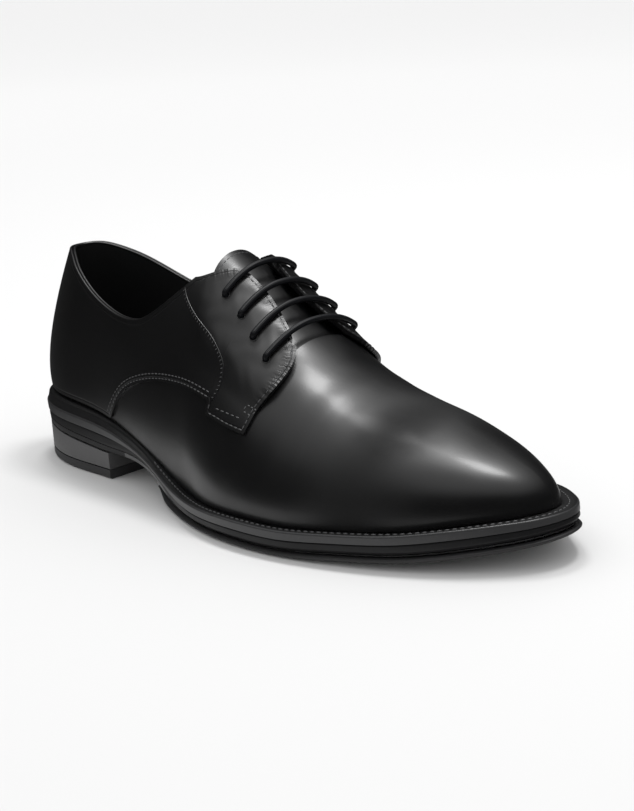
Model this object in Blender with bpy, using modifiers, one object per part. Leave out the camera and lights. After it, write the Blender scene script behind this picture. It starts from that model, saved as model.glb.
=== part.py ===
"""Men's derby shoe for the right foot, standing empty on its sole.

Metres, toe along +X, up +Z, floor at z = 0. The outer side of the foot is at -Y.
The origin is the middle of the footprint, at floor height.
"""
import math

import bmesh
import bpy
import numpy as np

# Driving sizes of the shoe
LENGTH = 0.300          # sole, heel to toe, the unit of the first column of each table
BALL_WIDTH = 0.106      # unit of every width below
INSTEP = 0.100          # unit of every height below
WALL = 0.0016           # vamp with its lining
QUARTER_STEP = 0.0012   # how far the quarters stand over the vamp
QUARTER_ROOT = 0.0006   # how deep the quarters sink into the lining layer
FACING_LIFT = 0.0017    # extra height of the loose facings at the throat
FACING_WALL = 0.0018
GAP = 0.00035           # clearance between neighbouring pieces
LACE_RADIUS = 0.00118
LACE_CLEAR = 0.0007     # room between the bars and the facings
LACE_BEHIND = 0.0007    # room between the runs behind and the facings
EYELET_RADIUS = 0.00165
TOP_PIECE = 0.0043      # thickness of the heel's top piece
HEEL_INSET = 0.0013     # of the heel's sides from the welt's outline
RUBBER_INSET = 0.0006   # of the forefoot rubber's sides from the welt's outline
RUBBER_BACK = 0.36      # along share at which the forefoot rubber begins
SHELF_FLAT, SHELF_HIGH = 0.30, 0.80  # across shares of the welt's shelf: end of the flat, top
SHELF_RISE = 0.72       # share of the welt's rise reached at the end of the flat
INSOLE_THICK = 0.0023
INSOLE_ROOM = 0.0015    # between the insole's side and the upper's inner face
RING = 92               # points round each sole layer
STATIONS = 40           # ribs of the upper from heel to toe
ROWS = 8                # rows of the upper from the welt to the throat line
VAMP_ROWS = 4           # rows of the vamp above the throat line

# Outer edge of the welt: length share, width share to the outer side, to the inner side
OUTLINE = [
    (0.012, 0.132, 0.132), (0.042, 0.222, 0.222), (0.107, 0.306, 0.302),
    (0.200, 0.330, 0.311), (0.280, 0.350, 0.292), (0.353, 0.398, 0.264),
    (0.427, 0.473, 0.262), (0.507, 0.554, 0.305), (0.593, 0.589, 0.376),
    (0.680, 0.573, 0.433), (0.760, 0.514, 0.449), (0.840, 0.423, 0.416),
    (0.903, 0.320, 0.350), (0.953, 0.204, 0.258), (0.988, 0.089, 0.162)]
HEEL_POINT = (-0.002, 0.0)
BALL = 0.680            # length share from which the sole turns up
TOE_POINT = (1.001, 0.052)

# Sole layers: length share; heights of welt edge, welt rise to the upper, midsole top,
# outsole top, outsole underside; then widths of welt margin, midsole inset, outsole inset
SOLE = [
    (-0.007, 0.268, 0.052, 0.224, 0.198, 0.174, 0.044, 0.007, 0.010),
    (0.103, 0.272, 0.050, 0.226, 0.188, 0.157, 0.042, 0.007, 0.010),
    (0.177, 0.262, 0.048, 0.216, 0.170, 0.139, 0.037, 0.007, 0.010),
    (0.233, 0.242, 0.044, 0.202, 0.157, 0.127, 0.030, 0.008, 0.012),
    (0.280, 0.215, 0.042, 0.186, 0.145, 0.119, 0.022, 0.020, 0.028),
    (0.340, 0.176, 0.034, 0.154, 0.112, 0.087, 0.023, 0.024, 0.034),
    (0.400, 0.130, 0.018, 0.105, 0.060, 0.036, 0.040, 0.014, 0.024),
    (0.433, 0.114, 0.009, 0.083, 0.040, 0.026, 0.049, 0.009, 0.020),
    (0.473, 0.108, 0.003, 0.071, 0.034, 0.025, 0.051, 0.006, 0.019),
    (0.533, 0.110, 0.000, 0.070, 0.033, 0.025, 0.049, 0.005, 0.018),
    (0.600, 0.115, 0.000, 0.074, 0.034, 0.026, 0.049, 0.005, 0.018),
    (0.680, 0.117, 0.000, 0.076, 0.035, 0.027, 0.049, 0.005, 0.018),
    (0.760, 0.132, 0.000, 0.092, 0.051, 0.042, 0.050, 0.005, 0.018),
    (0.850, 0.153, 0.000, 0.112, 0.070, 0.061, 0.053, 0.005, 0.018),
    (0.907, 0.178, 0.000, 0.137, 0.095, 0.086, 0.057, 0.005, 0.019),
    (0.947, 0.194, 0.000, 0.155, 0.115, 0.105, 0.061, 0.006, 0.021),
    (1.003, 0.214, 0.000, 0.181, 0.148, 0.139, 0.066, 0.006, 0.022)]

# Forefoot rubber: length share, height of its underside (toe spring)
SPRING = [
    (0.345, 0.062), (0.380, 0.036), (0.410, 0.012), (0.440, 0.0), (0.500, 0.0),
    (0.600, 0.0), (0.650, 0.0), (0.700, 0.003), (0.760, 0.0154), (0.850, 0.034), (0.907, 0.058),
    (0.947, 0.0775), (1.003, 0.115)]

# Ridge of the last: length share, height share, width share off the axis
RIDGE = [
    (0.133, 1.400, 0.0), (0.200, 1.340, 0.004), (0.267, 1.266, 0.006), (0.333, 1.186, 0.008),
    (0.400, 1.095, 0.009), (0.467, 0.965, 0.009), (0.533, 0.812, 0.004), (0.600, 0.684, 0.002),
    (0.667, 0.604, 0.005), (0.733, 0.549, 0.013), (0.800, 0.498, 0.024), (0.853, 0.446, 0.032)]
HEEL_POLE, TOE_POLE, POLE_SOFT = 0.133, 0.853, 0.030

# Ribs: length share, rise share, then width shares: bulge out and in, crown out and in
RIB = [
    (-0.007, 0.28, 0.064, 0.064, 0.086, 0.086), (0.020, 0.28, 0.066, 0.066, 0.030, 0.030),
    (0.100, 0.31, 0.060, 0.058, -0.012, -0.012), (0.200, 0.38, 0.040, 0.062, 0.117, 0.116),
    (0.300, 0.40, 0.041, 0.090, 0.156, 0.168), (0.400, 0.42, 0.035, 0.118, 0.216, 0.282),
    (0.450, 0.42, 0.035, 0.121, 0.269, 0.350), (0.500, 0.42, 0.034, 0.116, 0.262, 0.374),
    (0.550, 0.43, 0.032, 0.100, 0.252, 0.383), (0.600, 0.44, 0.032, 0.075, 0.265, 0.347),
    (0.700, 0.50, 0.034, 0.040, 0.298, 0.231), (0.800, 0.54, 0.036, 0.014, 0.265, 0.187),
    (0.900, 0.52, 0.026, -0.016, 0.190, 0.160), (1.000, 0.48, 0.000, 0.000, 0.205, 0.205)]

# Top line of the quarters seen from the side: length share, height share
COLLAR = [
    (-0.040, 0.966), (0.040, 0.968), (0.067, 0.980), (0.100, 0.958), (0.140, 0.905),
    (0.183, 0.842), (0.233, 0.785), (0.280, 0.760), (0.317, 0.775), (0.347, 0.825),
    (0.370, 0.878), (0.393, 0.938), (0.404, 0.972), (0.433, 1.030), (0.480, 1.090)]

# Seams of each side in the last's own shares: along from heel to toe, up from welt to ridge
THROAT = [
    (0.400, 0.700), (0.408, 0.726), (0.416, 0.760), (0.426, 0.807), (0.434, 0.848),
    (0.442, 0.886), (0.452, 0.910), (0.464, 0.918), (0.490, 0.919), (0.512, 0.907),
    (0.534, 0.884), (0.546, 0.866), (0.556, 0.842)]
FRONT = [(0.566, 0.797), (0.572, 0.740), (0.574, 0.667), (0.573, 0.608), (0.569, 0.550),
         (0.565, 0.492), (0.564, 0.438), (0.562, 0.382)]
ARCH = [
    (0.258, 0.014), (0.272, 0.075), (0.292, 0.143), (0.324, 0.210), (0.360, 0.265),
    (0.398, 0.315), (0.438, 0.362), (0.4875, 0.397), (0.4885, 0.345), (0.506, 0.355),
    (0.526, 0.362), (0.542, 0.370), (0.562, 0.382)]
HEEL_SEAM = 0.014       # up share at which the quarters begin behind the arch seam
# Edge of the lining layer below the facings
OPENING = [(0.376, 0.605), (0.390, 0.600), (0.440, 0.585), (0.480, 0.575), (0.530, 0.565),
           (0.560, 0.560), (1.000, 0.560)]
VAMP_BACK = 0.556       # along share at which the vamp closes over the ridge
# Eyelets: along share, up share on the outer side and on the inner side
EYELETS = [
    (0.452, 0.755, 0.790), (0.482, 0.743, 0.768), (0.510, 0.718, 0.745), (0.540, 0.690, 0.722)]
QUARTER_LINES = 34      # ribs of each quarter
TONGUE_TOP, TONGUE_FRONT = 0.412, 0.600
TONGUE_ROUND = 0.034    # how far the tongue's top corners are drawn forward
TONGUE_EDGE = 0.640     # up share of the tongue's sides
TONGUE_WALL = 0.0016
BREAST = 0.0692         # front of the heel, from its back
TAB_MIDDLE = 0.0785     # height of the roll on the back seam
TAB_HEIGHT, TAB_WIDTH, TAB_THICK = 0.0095, 0.0085, 0.0024


def natural(table):
    """Cubic spline through the rows of a table, straight at its ends."""
    rows = np.asarray(table, float)
    knots = rows[:, 0]
    values = rows[:, 1:]
    count = len(knots)
    step = np.diff(knots)
    left = np.eye(count)
    right = np.zeros_like(values)
    for i in range(1, count - 1):
        left[i, i - 1:i + 2] = (step[i - 1], 2 * (step[i - 1] + step[i]), step[i])
        ahead = (values[i + 1] - values[i]) / step[i]
        behind = (values[i] - values[i - 1]) / step[i - 1]
        right[i] = 6 * (ahead - behind)
    bend = np.linalg.solve(left, right)

    def at(x):
        x = np.clip(np.asarray(x, float), knots[0], knots[-1])
        k = np.clip(np.searchsorted(knots, x, side="right") - 1, 0, count - 2)
        h = step[k][..., None]
        t = (x - knots[k])[..., None]
        u = h - t
        curve = (bend[k] * u ** 3 + bend[k + 1] * t ** 3) / (6 * h)
        line = (values[k] / h - bend[k] * h / 6) * u + (values[k + 1] / h - bend[k + 1] * h / 6) * t
        return curve + line

    return at


def closed_curve(points, samples):
    """Smooth closed curve through the points, as evenly numbered samples."""
    p = np.asarray(points, float)
    count = len(p)
    step = np.linalg.norm(np.roll(p, -1, 0) - p, axis=1) ** 0.75
    left = np.zeros((count, count))
    right = np.zeros_like(p)
    for i in range(count):
        before, after = step[i - 1], step[i]
        left[i, i - 1] += before
        left[i, i] += 2 * (before + after)
        left[i, (i + 1) % count] += after
        right[i] = 6 * ((p[(i + 1) % count] - p[i]) / after - (p[i] - p[i - 1]) / before)
    bend = np.linalg.solve(left, right)
    knots = np.concatenate([[0.0], np.cumsum(step)])
    place = np.linspace(0, knots[-1], samples)
    k = np.clip(np.searchsorted(knots, place, side="right") - 1, 0, count - 1)
    nxt = (k + 1) % count
    h = step[k][:, None]
    t = (place - knots[k])[:, None]
    u = h - t
    curve = (bend[k] * u ** 3 + bend[nxt] * t ** 3) / (6 * h)
    return curve + (p[k] / h - bend[k] * h / 6) * u + (p[nxt] / h - bend[nxt] * h / 6) * t


def soft_clamp(x, low, high, soft):
    """Keep x between low and high with rounded corners."""
    up = (x - low) + np.sqrt((x - low) ** 2 + soft ** 2)
    down = (x - high) + np.sqrt((x - high) ** 2 + soft ** 2)
    return low + 0.5 * up - 0.5 * down


def smooth(x):
    """Rise smoothly from 0 to 1 as x goes from 0 to 1."""
    x = np.clip(x, 0.0, 1.0)
    return x * x * (3 - 2 * x)


class Last:
    """The form of the foot: outline of the sole and ribs up to the ridge."""

    def __init__(self):
        outer = [(x * LENGTH, -a * BALL_WIDTH) for x, a, b in OUTLINE]
        inner = [(x * LENGTH, b * BALL_WIDTH) for x, a, b in OUTLINE]
        heel = [(HEEL_POINT[0] * LENGTH, HEEL_POINT[1] * BALL_WIDTH)]
        toe = [(TOE_POINT[0] * LENGTH, TOE_POINT[1] * BALL_WIDTH)]
        line = closed_curve(heel + outer + toe + inner[::-1], 4001)
        along = np.gradient(line, axis=0)
        along[0] = along[-1] = line[1] - line[-2]
        along /= np.linalg.norm(along, axis=1)[:, None]
        out = np.stack([along[:, 1], -along[:, 0]], 1)
        tip = int(np.argmax(line[:, 0]))
        self.sides = {}
        for side, part in ((-1, slice(0, tip + 1)), (1, slice(4000, tip - 1, -1))):
            p, n = line[part], out[part]
            run = np.concatenate([[0.0], np.cumsum(np.linalg.norm(np.diff(p, axis=0), axis=1))])
            self.sides[side] = (run / run[-1], p, n)
            self.side_length = run[-1]
        self.sole = natural(SOLE)
        self.rubber = natural(SPRING)
        self.ridge = natural(RIDGE)
        self.rib = natural(RIB)

    def plan(self, s, side, inset=0.0):
        """Points of the outline, moved inward by inset; s runs from heel 0 to toe 1."""
        run, p, n = self.sides[side]
        point = np.stack([np.interp(s, run, p[:, i]) for i in (0, 1)], -1)
        normal = np.stack([np.interp(s, run, n[:, i]) for i in (0, 1)], -1)
        return point - normal * np.broadcast_to(inset, np.shape(s))[..., None]

    def layer(self, x):
        """Sole table at x: heights and widths in metres."""
        row = self.sole(np.asarray(x) / LENGTH)
        return np.concatenate([row[..., :5] * INSTEP, row[..., 5:] * BALL_WIDTH], -1)

    def spring(self, x):
        """Height of the forefoot's underside and its slope ahead of the ball."""
        share = np.asarray(x) / LENGTH
        here, ahead = self.rubber(share)[..., 0], self.rubber(share + 0.001)[..., 0]
        slope = np.maximum(ahead - here, 0.0) * INSTEP / (0.001 * LENGTH)
        return here * INSTEP, np.where(share > BALL, slope, 0.0)

    def lean(self, point, height):
        """Plan points at a height, set back square to the toe spring."""
        low, slope = self.spring(point[..., 0])
        x = point[..., 0] - slope * (height - low)
        return np.stack([x, point[..., 1], height], -1)

    def feather(self, s, side):
        """Bottom edge of the upper."""
        edge = self.plan(s, side)
        margin = self.layer(edge[..., 0])[..., 5]
        point = self.plan(s, side, margin)
        row = self.layer(point[..., 0])
        return self.lean(point, row[..., 0] + row[..., 1])

    def crest(self, s):
        """Point of the ridge above rib s, with the slope there."""
        x = 0.5 * (self.feather(s, -1)[..., 0] + self.feather(s, 1)[..., 0]) / LENGTH
        x = soft_clamp(x, HEEL_POLE, TOE_POLE, POLE_SOFT)
        here, ahead = self.ridge(x), self.ridge(x + 0.001)
        slope = (ahead[..., 0] - here[..., 0]) * INSTEP / (0.001 * LENGTH)
        point = np.stack([x * LENGTH, here[..., 1] * BALL_WIDTH, here[..., 0] * INSTEP], -1)
        return point, slope

    def skin(self, s, v, side):
        """Outer face of the vamp: s (n) heel to toe, v (n, m) welt to ridge."""
        foot = self.feather(s, side)
        top, slope = self.crest(s)
        row = self.rib(foot[..., 0] / LENGTH)
        bulge = row[..., 1 if side < 0 else 2] * BALL_WIDTH
        crown = row[..., 3 if side < 0 else 4] * BALL_WIDTH
        away = foot[..., :2] - top[..., :2]
        away = away / np.linalg.norm(away, axis=-1)[..., None]
        low = foot.copy()
        low[..., :2] += away * bulge[..., None]
        low[..., 2] += row[..., 0] * (top[..., 2] - foot[..., 2])
        high = top.copy()
        high[..., :2] += away * crown[..., None]
        high[..., 2] += slope * away[..., 0] * crown
        v = np.asarray(v, float)[..., None]
        a, b, c, d = (q[..., None, :] for q in (foot, low, high, top))
        return (1 - v) ** 3 * a + 3 * v * (1 - v) ** 2 * b + 3 * v * v * (1 - v) * c + v ** 3 * d

    def shell(self, s, v, side, off=0.0):
        """Points at a distance off outward from the skin, both sides meeting at heel and toe."""
        s = np.asarray(s, float)
        near = self.side_shell(s, v, side, off)
        other = self.side_shell(s, v, -side, off)
        meet = ((s == 0.0) | (s == 1.0))[:, None, None]
        return np.where(meet, 0.5 * (near + other), near)

    def side_shell(self, s, v, side, off):
        """Points at a distance off outward from the skin of one side."""
        v = np.asarray(v, float)
        ds = 0.002
        lo, hi = np.clip(s - ds, 0, 1), np.clip(s + ds, 0, 1)
        across = self.skin(s, v + 0.002, side) - self.skin(s, v - 0.002, side)
        along = self.skin(hi, v, side) - self.skin(lo, v, side)
        normal = np.cross(across, along) * side
        normal /= np.linalg.norm(normal, axis=-1)[..., None]
        return self.skin(s, v, side) + normal * np.broadcast_to(off, v.shape)[..., None]


# Build

LAST = Last()
CENTRE = np.array([0.5 * LENGTH, 0.0, 0.5 * INSTEP])


def collar_height(x):
    """Height of the top line at x."""
    return natural(COLLAR)(x / LENGTH)[..., 0] * INSTEP


def top_line(s, side, off, rise):
    """Share up each rib at which the shell meets the collar."""
    v = np.linspace(0.2, 1.0, 401)
    points = LAST.shell(s, np.tile(v, (len(s), 1)), side, off)
    over = points[..., 2] - collar_height(points[..., 0]) - rise
    found = []
    for row in over:
        k = int(np.argmax(row > 0))
        share = row[k - 1] / (row[k - 1] - row[k])
        found.append(v[k - 1] + share * (v[k] - v[k - 1]))
    return np.array(found)


def material(name, colour, roughness, metallic=0.0):
    made = bpy.data.materials.new(name)
    made.use_nodes = True
    shader = made.node_tree.nodes["Principled BSDF"]
    shader.inputs["Base Color"].default_value = (*colour, 1.0)
    shader.inputs["Roughness"].default_value = roughness
    shader.inputs["Metallic"].default_value = metallic
    return made


def collection(name):
    made = bpy.data.collections.new(name)
    bpy.context.scene.collection.children.link(made)
    return made


def mesh_object(name, points, faces, finish, home):
    """Object from points and faces, with doubles merged and faces turned outward."""
    mesh = bpy.data.meshes.new(name)
    mesh.from_pydata([tuple(map(float, p)) for p in points], [], faces)
    work = bmesh.new()
    work.from_mesh(mesh)
    bmesh.ops.remove_doubles(work, verts=work.verts, dist=0.00002)
    bmesh.ops.dissolve_degenerate(work, edges=work.edges, dist=0.00002)
    bmesh.ops.recalc_face_normals(work, faces=work.faces)
    work.to_mesh(mesh)
    work.free()
    made = bpy.data.objects.new(name, mesh)
    if finish:
        mesh.materials.append(finish)
    home.objects.link(made)
    return made


def rung_cap(start, count):
    """Faces across a ring whose two halves mirror each other, first point at the heel."""
    half = count // 2
    faces = [(start, start + 1, start + count - 1)]
    for i in range(1, half - 1):
        faces.append((start + i, start + i + 1, start + count - i - 1, start + count - i))
    faces.append((start + half - 1, start + half, start + half + 1))
    return faces


def ring_solid(name, rings, finish, home):
    """Closed solid through a stack of rings, from the lowest to the top one."""
    count = len(rings[0])
    points = np.concatenate(rings)
    faces = rung_cap(0, count)
    faces += [tuple(reversed(face)) for face in rung_cap((len(rings) - 1) * count, count)]
    for level in range(len(rings) - 1):
        low, high = level * count, (level + 1) * count
        for i in range(count):
            j = (i + 1) % count
            faces.append((low + i, low + j, high + j, high + i))
    return mesh_object(name, points, faces, finish, home)


def sole_ring(inset_column, height_column, start=0.0, shift=0.0, lift=0.0, count=RING):
    """Ring of the outline at a height column, inset by a width column or a plain width."""
    half = count // 2
    rise = np.linspace(0.0, 1.0, half + 1)
    halves = []
    for side, share in ((-1, rise), (1, rise[::-1][1:-1])):
        along = start + (1.0 - start) * share
        edge = LAST.plan(along, side)
        inset = shift
        if inset_column is not None:
            inset = LAST.layer(edge[:, 0])[:, inset_column] + shift
        point = LAST.plan(along, side, inset)
        if callable(height_column):
            height = height_column(point[:, 0])
        else:
            height = LAST.layer(point[:, 0])[:, height_column]
        halves.append(LAST.lean(point, height + lift))
    return np.concatenate(halves)


def heel_ring(inset, height, count=44):
    """Ring of the heel: the outline up to the breast and a line across."""
    half = count // 2
    halves = []
    for side in (-1, 1):
        share = np.linspace(0.0, 0.5, 400)
        point = LAST.plan(share, side, inset)
        end = np.interp(BREAST - 0.0004, point[:, 0], share)
        along = np.linspace(0.0, end, half)
        halves.append(LAST.plan(along, side, inset))
    plan = np.concatenate([halves[0], halves[1][::-1][:-1]])
    plan = np.insert(plan, half, [BREAST - 0.0016, 0.5 * (halves[0][-1][1] + halves[1][-1][1])], 0)
    heights = height(plan[:, 0]) if callable(height) else np.full(len(plan), height)
    return np.concatenate([plan, heights[:, None]], 1)


def heel_seat(lift):
    return lambda x: LAST.layer(x)[:, 4] + lift


def rubber_floor(x):
    return natural(SPRING)(x / LENGTH)[:, 0] * INSTEP


def build_sole(finish, home):
    """Heel, forefoot rubber, outsole, midsole, welt and insole."""
    rings = [
        heel_ring(HEEL_INSET + 0.0009, 0.0),
        heel_ring(HEEL_INSET, 0.0009),
        heel_ring(HEEL_INSET, TOP_PIECE)]
    ring_solid("heel_top_piece", rings, finish["rubber"], home)
    rings = [heel_ring(HEEL_INSET, TOP_PIECE + GAP), heel_ring(0.0011, heel_seat(-GAP))]
    ring_solid("heel_stack", rings, finish["stack"], home)

    rings = [
        sole_ring(None, rubber_floor, RUBBER_BACK, RUBBER_INSET + 0.0020),
        sole_ring(None, rubber_floor, RUBBER_BACK, RUBBER_INSET + 0.0003, 0.0008),
        sole_ring(None, 4, RUBBER_BACK, RUBBER_INSET, -GAP - 0.0008),
        sole_ring(None, 4, RUBBER_BACK, RUBBER_INSET + 0.0008, -GAP)]
    rings = [np.maximum(ring, [-LENGTH, -LENGTH, 0.0]) for ring in rings]
    ring_solid("forefoot_sole", rings, finish["rubber"], home)

    rings = [
        sole_ring(7, 4, shift=0.0006),
        sole_ring(7, 4, lift=0.0004),
        sole_ring(7, 3, shift=-0.0002)]
    ring_solid("outsole", rings, finish["edge"], home)
    rings = [
        sole_ring(7, 3, shift=-0.0003, lift=GAP),
        sole_ring(6, 3, lift=0.0016),
        sole_ring(6, 2)]
    ring_solid("midsole", rings, finish["edge"], home)

    rise = sole_ring(5, 1)[:, 2]
    outer, inner = sole_ring(None, 0), sole_ring(5, 0)
    flat = outer + (inner - outer) * SHELF_FLAT
    flat[:, 2] = inner[:, 2] + rise * SHELF_RISE - 0.0001
    high = outer + (inner - outer) * SHELF_HIGH
    high[:, 2] = inner[:, 2] + rise - GAP
    rings = [
        sole_ring(None, 2, shift=0.0003, lift=GAP),
        sole_ring(None, 0, lift=-0.0004),
        sole_ring(None, 0, shift=0.0005),
        flat,
        high]
    ring_solid("welt", rings, finish["welt"], home)

    seat = WALL + INSOLE_ROOM
    base = sole_ring(5, 0, shift=seat)
    base[:, 2] += sole_ring(5, 1, shift=seat)[:, 2] + 0.0001
    crown = base.copy()
    crown[:, 2] += INSOLE_THICK
    ring_solid("insole", [base, crown], finish["lining"], home)


def shell_object(name, points, faces, wall, finish, home):
    """Open surface thickened inward."""
    made = mesh_object(name, points, faces, finish, home)
    thick = made.modifiers.new("wall", "SOLIDIFY")
    thick.thickness = wall
    thick.offset = -1.0
    thick.use_even_offset = True
    thick.use_rim = True
    return made


def grid_faces(columns, rows, start=0):
    faces = []
    for i in range(columns - 1):
        for j in range(rows - 1):
            a = start + i * rows + j
            faces.append((a, a + rows, a + rows + 1, a + 1))
    return faces


def flip_to_outside(made, centre):
    """Turn an open surface so that its normals point away from the centre."""
    mesh = made.data
    total = 0.0
    for face in mesh.polygons:
        away = np.array(face.center) - centre
        total += face.area * float(away @ np.array(face.normal))
    if total < 0:
        mesh.flip_normals()


def build_vamp(finish, home):
    """Vamp and lining layer, closed over the ridge in front of the facings."""
    behind = np.linspace(0.0, VAMP_BACK, 23)
    ahead = np.linspace(VAMP_BACK, 1.0, STATIONS - 21)[1:]
    s = np.concatenate([behind, ahead])
    first = len(behind) - 1
    opening = natural(OPENING)
    points, faces = [], []
    for side in (-1, 1):
        edge = np.where(s < OPENING[0][0], top_line(np.minimum(s, OPENING[0][0]), side, 0.0, 0.0010),
                        opening(s)[:, 0])
        v = edge[:, None] * np.linspace(0.0, 1.0, ROWS + 1)[None] ** 0.92
        start = len(points)
        points += list(LAST.shell(s, v, side).reshape(-1, 3))
        faces += grid_faces(len(s), ROWS + 1, start)
        part = s[first:]
        low = opening(part)[:, :1]
        v = low + (1 - low) * np.linspace(0.0, 1.0, VAMP_ROWS + 1)[None]
        start = len(points)
        points += list(LAST.shell(part, v, side).reshape(-1, 3))
        faces += grid_faces(len(part), VAMP_ROWS + 1, start)
    made = shell_object("upper", points, faces, WALL, finish["leather"], home)
    flip_to_outside(made, CENTRE)
    return made


def facing_lift(s, v):
    """How far the loose facings rise over the vamp."""
    return FACING_LIFT * smooth((s - 0.398) / 0.05) * smooth((v - 0.47) / 0.15)


def quarter_patch(side, columns, rows):
    """Along and up shares of one quarter, from the heel line to the tab's front edge."""
    arch = np.array([(0.0, HEEL_SEAM), (0.25, HEEL_SEAM)] + ARCH)
    throat = np.array(THROAT)
    keys = [row[0] for row in ARCH]
    spread = np.concatenate([np.linspace(0.0, 0.25, columns - len(keys) - 9), keys,
                             [0.308, 0.342, 0.379, 0.408, 0.420, 0.450, 0.466, 0.552]])
    s = np.unique(np.round(spread, 5))
    low = np.stack([s, np.interp(s, arch[:, 0], arch[:, 1])], 1)
    collar = top_line(np.minimum(s, THROAT[0][0]), side, QUARTER_STEP, 0.0)
    high = np.stack([s, np.where(s < THROAT[0][0], collar, np.interp(s, throat[:, 0], throat[:, 1]))], 1)
    front = np.array([THROAT[-1]] + FRONT)[::-1]
    run = np.concatenate([[0.0], np.cumsum(np.hypot(*(np.diff(front, axis=0) * [0.35, 0.11]).T))])
    w = np.linspace(0.0, 1.0, rows)
    edge = np.stack([np.interp(w * run[-1], run, front[:, i]) for i in (0, 1)], 1)
    straight = low[-1] + (high[-1] - low[-1]) * w[:, None]
    bow = edge - straight
    patch = low[:, None] + (high - low)[:, None] * w[None, :, None]
    patch += bow[None] * smooth((s - 0.47) / (s[-1] - 0.47))[:, None, None]
    return patch


def build_quarters(home):
    """Both quarters with facings and tabs, one band round the heel."""
    sheets = []
    for side in (-1, 1):
        patch = quarter_patch(side, QUARTER_LINES, ROWS + 1)
        s, v = patch[..., 0], patch[..., 1]
        off = QUARTER_STEP + facing_lift(s, v)
        rows = []
        for i in range(patch.shape[1]):
            rows.append(LAST.shell(s[:, i], v[:, i][:, None], side, off[:, i][:, None])[:, 0])
        sheets.append(np.stack(rows, 1))
    band = np.concatenate([sheets[0][::-1], sheets[1][1:]])
    columns, rows = band.shape[:2]
    made = shell_object("cut_quarters", band.reshape(-1, 3), grid_faces(columns, rows),
                        QUARTER_STEP + QUARTER_ROOT, None, home)
    flip_to_outside(made, CENTRE)
    return made


def eyelet_frame(s, v, side, off):
    """Centre and outward direction at an eyelet."""
    place = np.array([s])
    share = np.array([[v]])
    low = LAST.shell(place, share, side, off)[0, 0]
    high = LAST.shell(place, share, side, off + 0.001)[0, 0]
    return low, (high - low) / np.linalg.norm(high - low)


def build_punches(home):
    """Cylinders that cut the eyelet holes, joined into one cutter."""
    made = []
    for side in (-1, 1):
        for s, outer, inner in EYELETS:
            v = outer if side < 0 else inner
            off = QUARTER_STEP + float(facing_lift(s, v)) - 0.5 * FACING_WALL
            centre, out = eyelet_frame(s, v, side, off)
            tilt = math.acos(out[2])
            turn = math.atan2(out[1], out[0])
            bpy.ops.mesh.primitive_cylinder_add(
                vertices=16, radius=EYELET_RADIUS, depth=2.2 * FACING_WALL,
                location=tuple(centre), rotation=(0.0, tilt, turn))
            made.append(bpy.context.object)
    bpy.ops.object.select_all(action="DESELECT")
    for item in made:
        item.select_set(True)
    bpy.context.view_layer.objects.active = made[0]
    bpy.ops.object.join()
    punch = bpy.context.object
    punch.name = "cut_eyelets"
    for old in list(punch.users_collection):
        old.objects.unlink(punch)
    home.objects.link(punch)
    return punch


def boolean(target, cutter, operation):
    step = target.modifiers.new(cutter.name, "BOOLEAN")
    step.operation = operation
    step.solver = "EXACT"
    step.object = cutter
    cutter.hide_render = True
    cutter.display_type = "WIRE"


def build_tongue(finish, home):
    """Tongue below the facings, its top corners rounded."""
    u = np.array([-1.0, -0.94, -0.84, -0.68, -0.45, -0.2, 0.0, 0.2, 0.45, 0.68, 0.84, 0.94, 1.0])
    w = np.array([0.0, 0.04, 0.12, 0.25, 0.40, 0.55, 0.70, 0.85, 1.0])
    columns = []
    for share in u:
        top = TONGUE_TOP + TONGUE_ROUND * abs(share) ** 5
        s = top + w * (TONGUE_FRONT - top)
        v = np.full((len(w), 1), 1 - abs(share) * (1 - TONGUE_EDGE))
        side = -1 if share < 0 else 1
        columns.append(LAST.shell(s, v, side, -WALL - 2 * GAP)[:, 0])
    sheet = np.stack(columns, 1)
    made = shell_object("tongue", sheet.reshape(-1, 3), grid_faces(len(w), len(u)),
                        TONGUE_WALL, finish["leather"], home)
    flip_to_outside(made, CENTRE)
    return made


def fillet(before, at, after, radius, steps=4):
    """Points that round one corner of a path."""
    back, on = before - at, after - at
    reach = min(radius, 0.48 * np.linalg.norm(back), 0.48 * np.linalg.norm(on))
    start = at + back / np.linalg.norm(back) * reach
    end = at + on / np.linalg.norm(on) * reach
    return [(1 - t) ** 2 * start + 2 * t * (1 - t) * at + t * t * end
            for t in np.linspace(0.0, 1.0, steps)]


def lace_bar(s, outer, inner, level, steps=11):
    """Points of one bar from the outer eyelet to the inner one."""
    points = []
    for u in np.linspace(-1.0, 1.0, steps):
        side = -1 if u < 0 else 1
        share = 1 - abs(u) * (1 - (outer if u < 0 else inner))
        points.append(LAST.shell(np.array([s]), np.array([[share]]), side, level)[0, 0])
    return points


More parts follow.
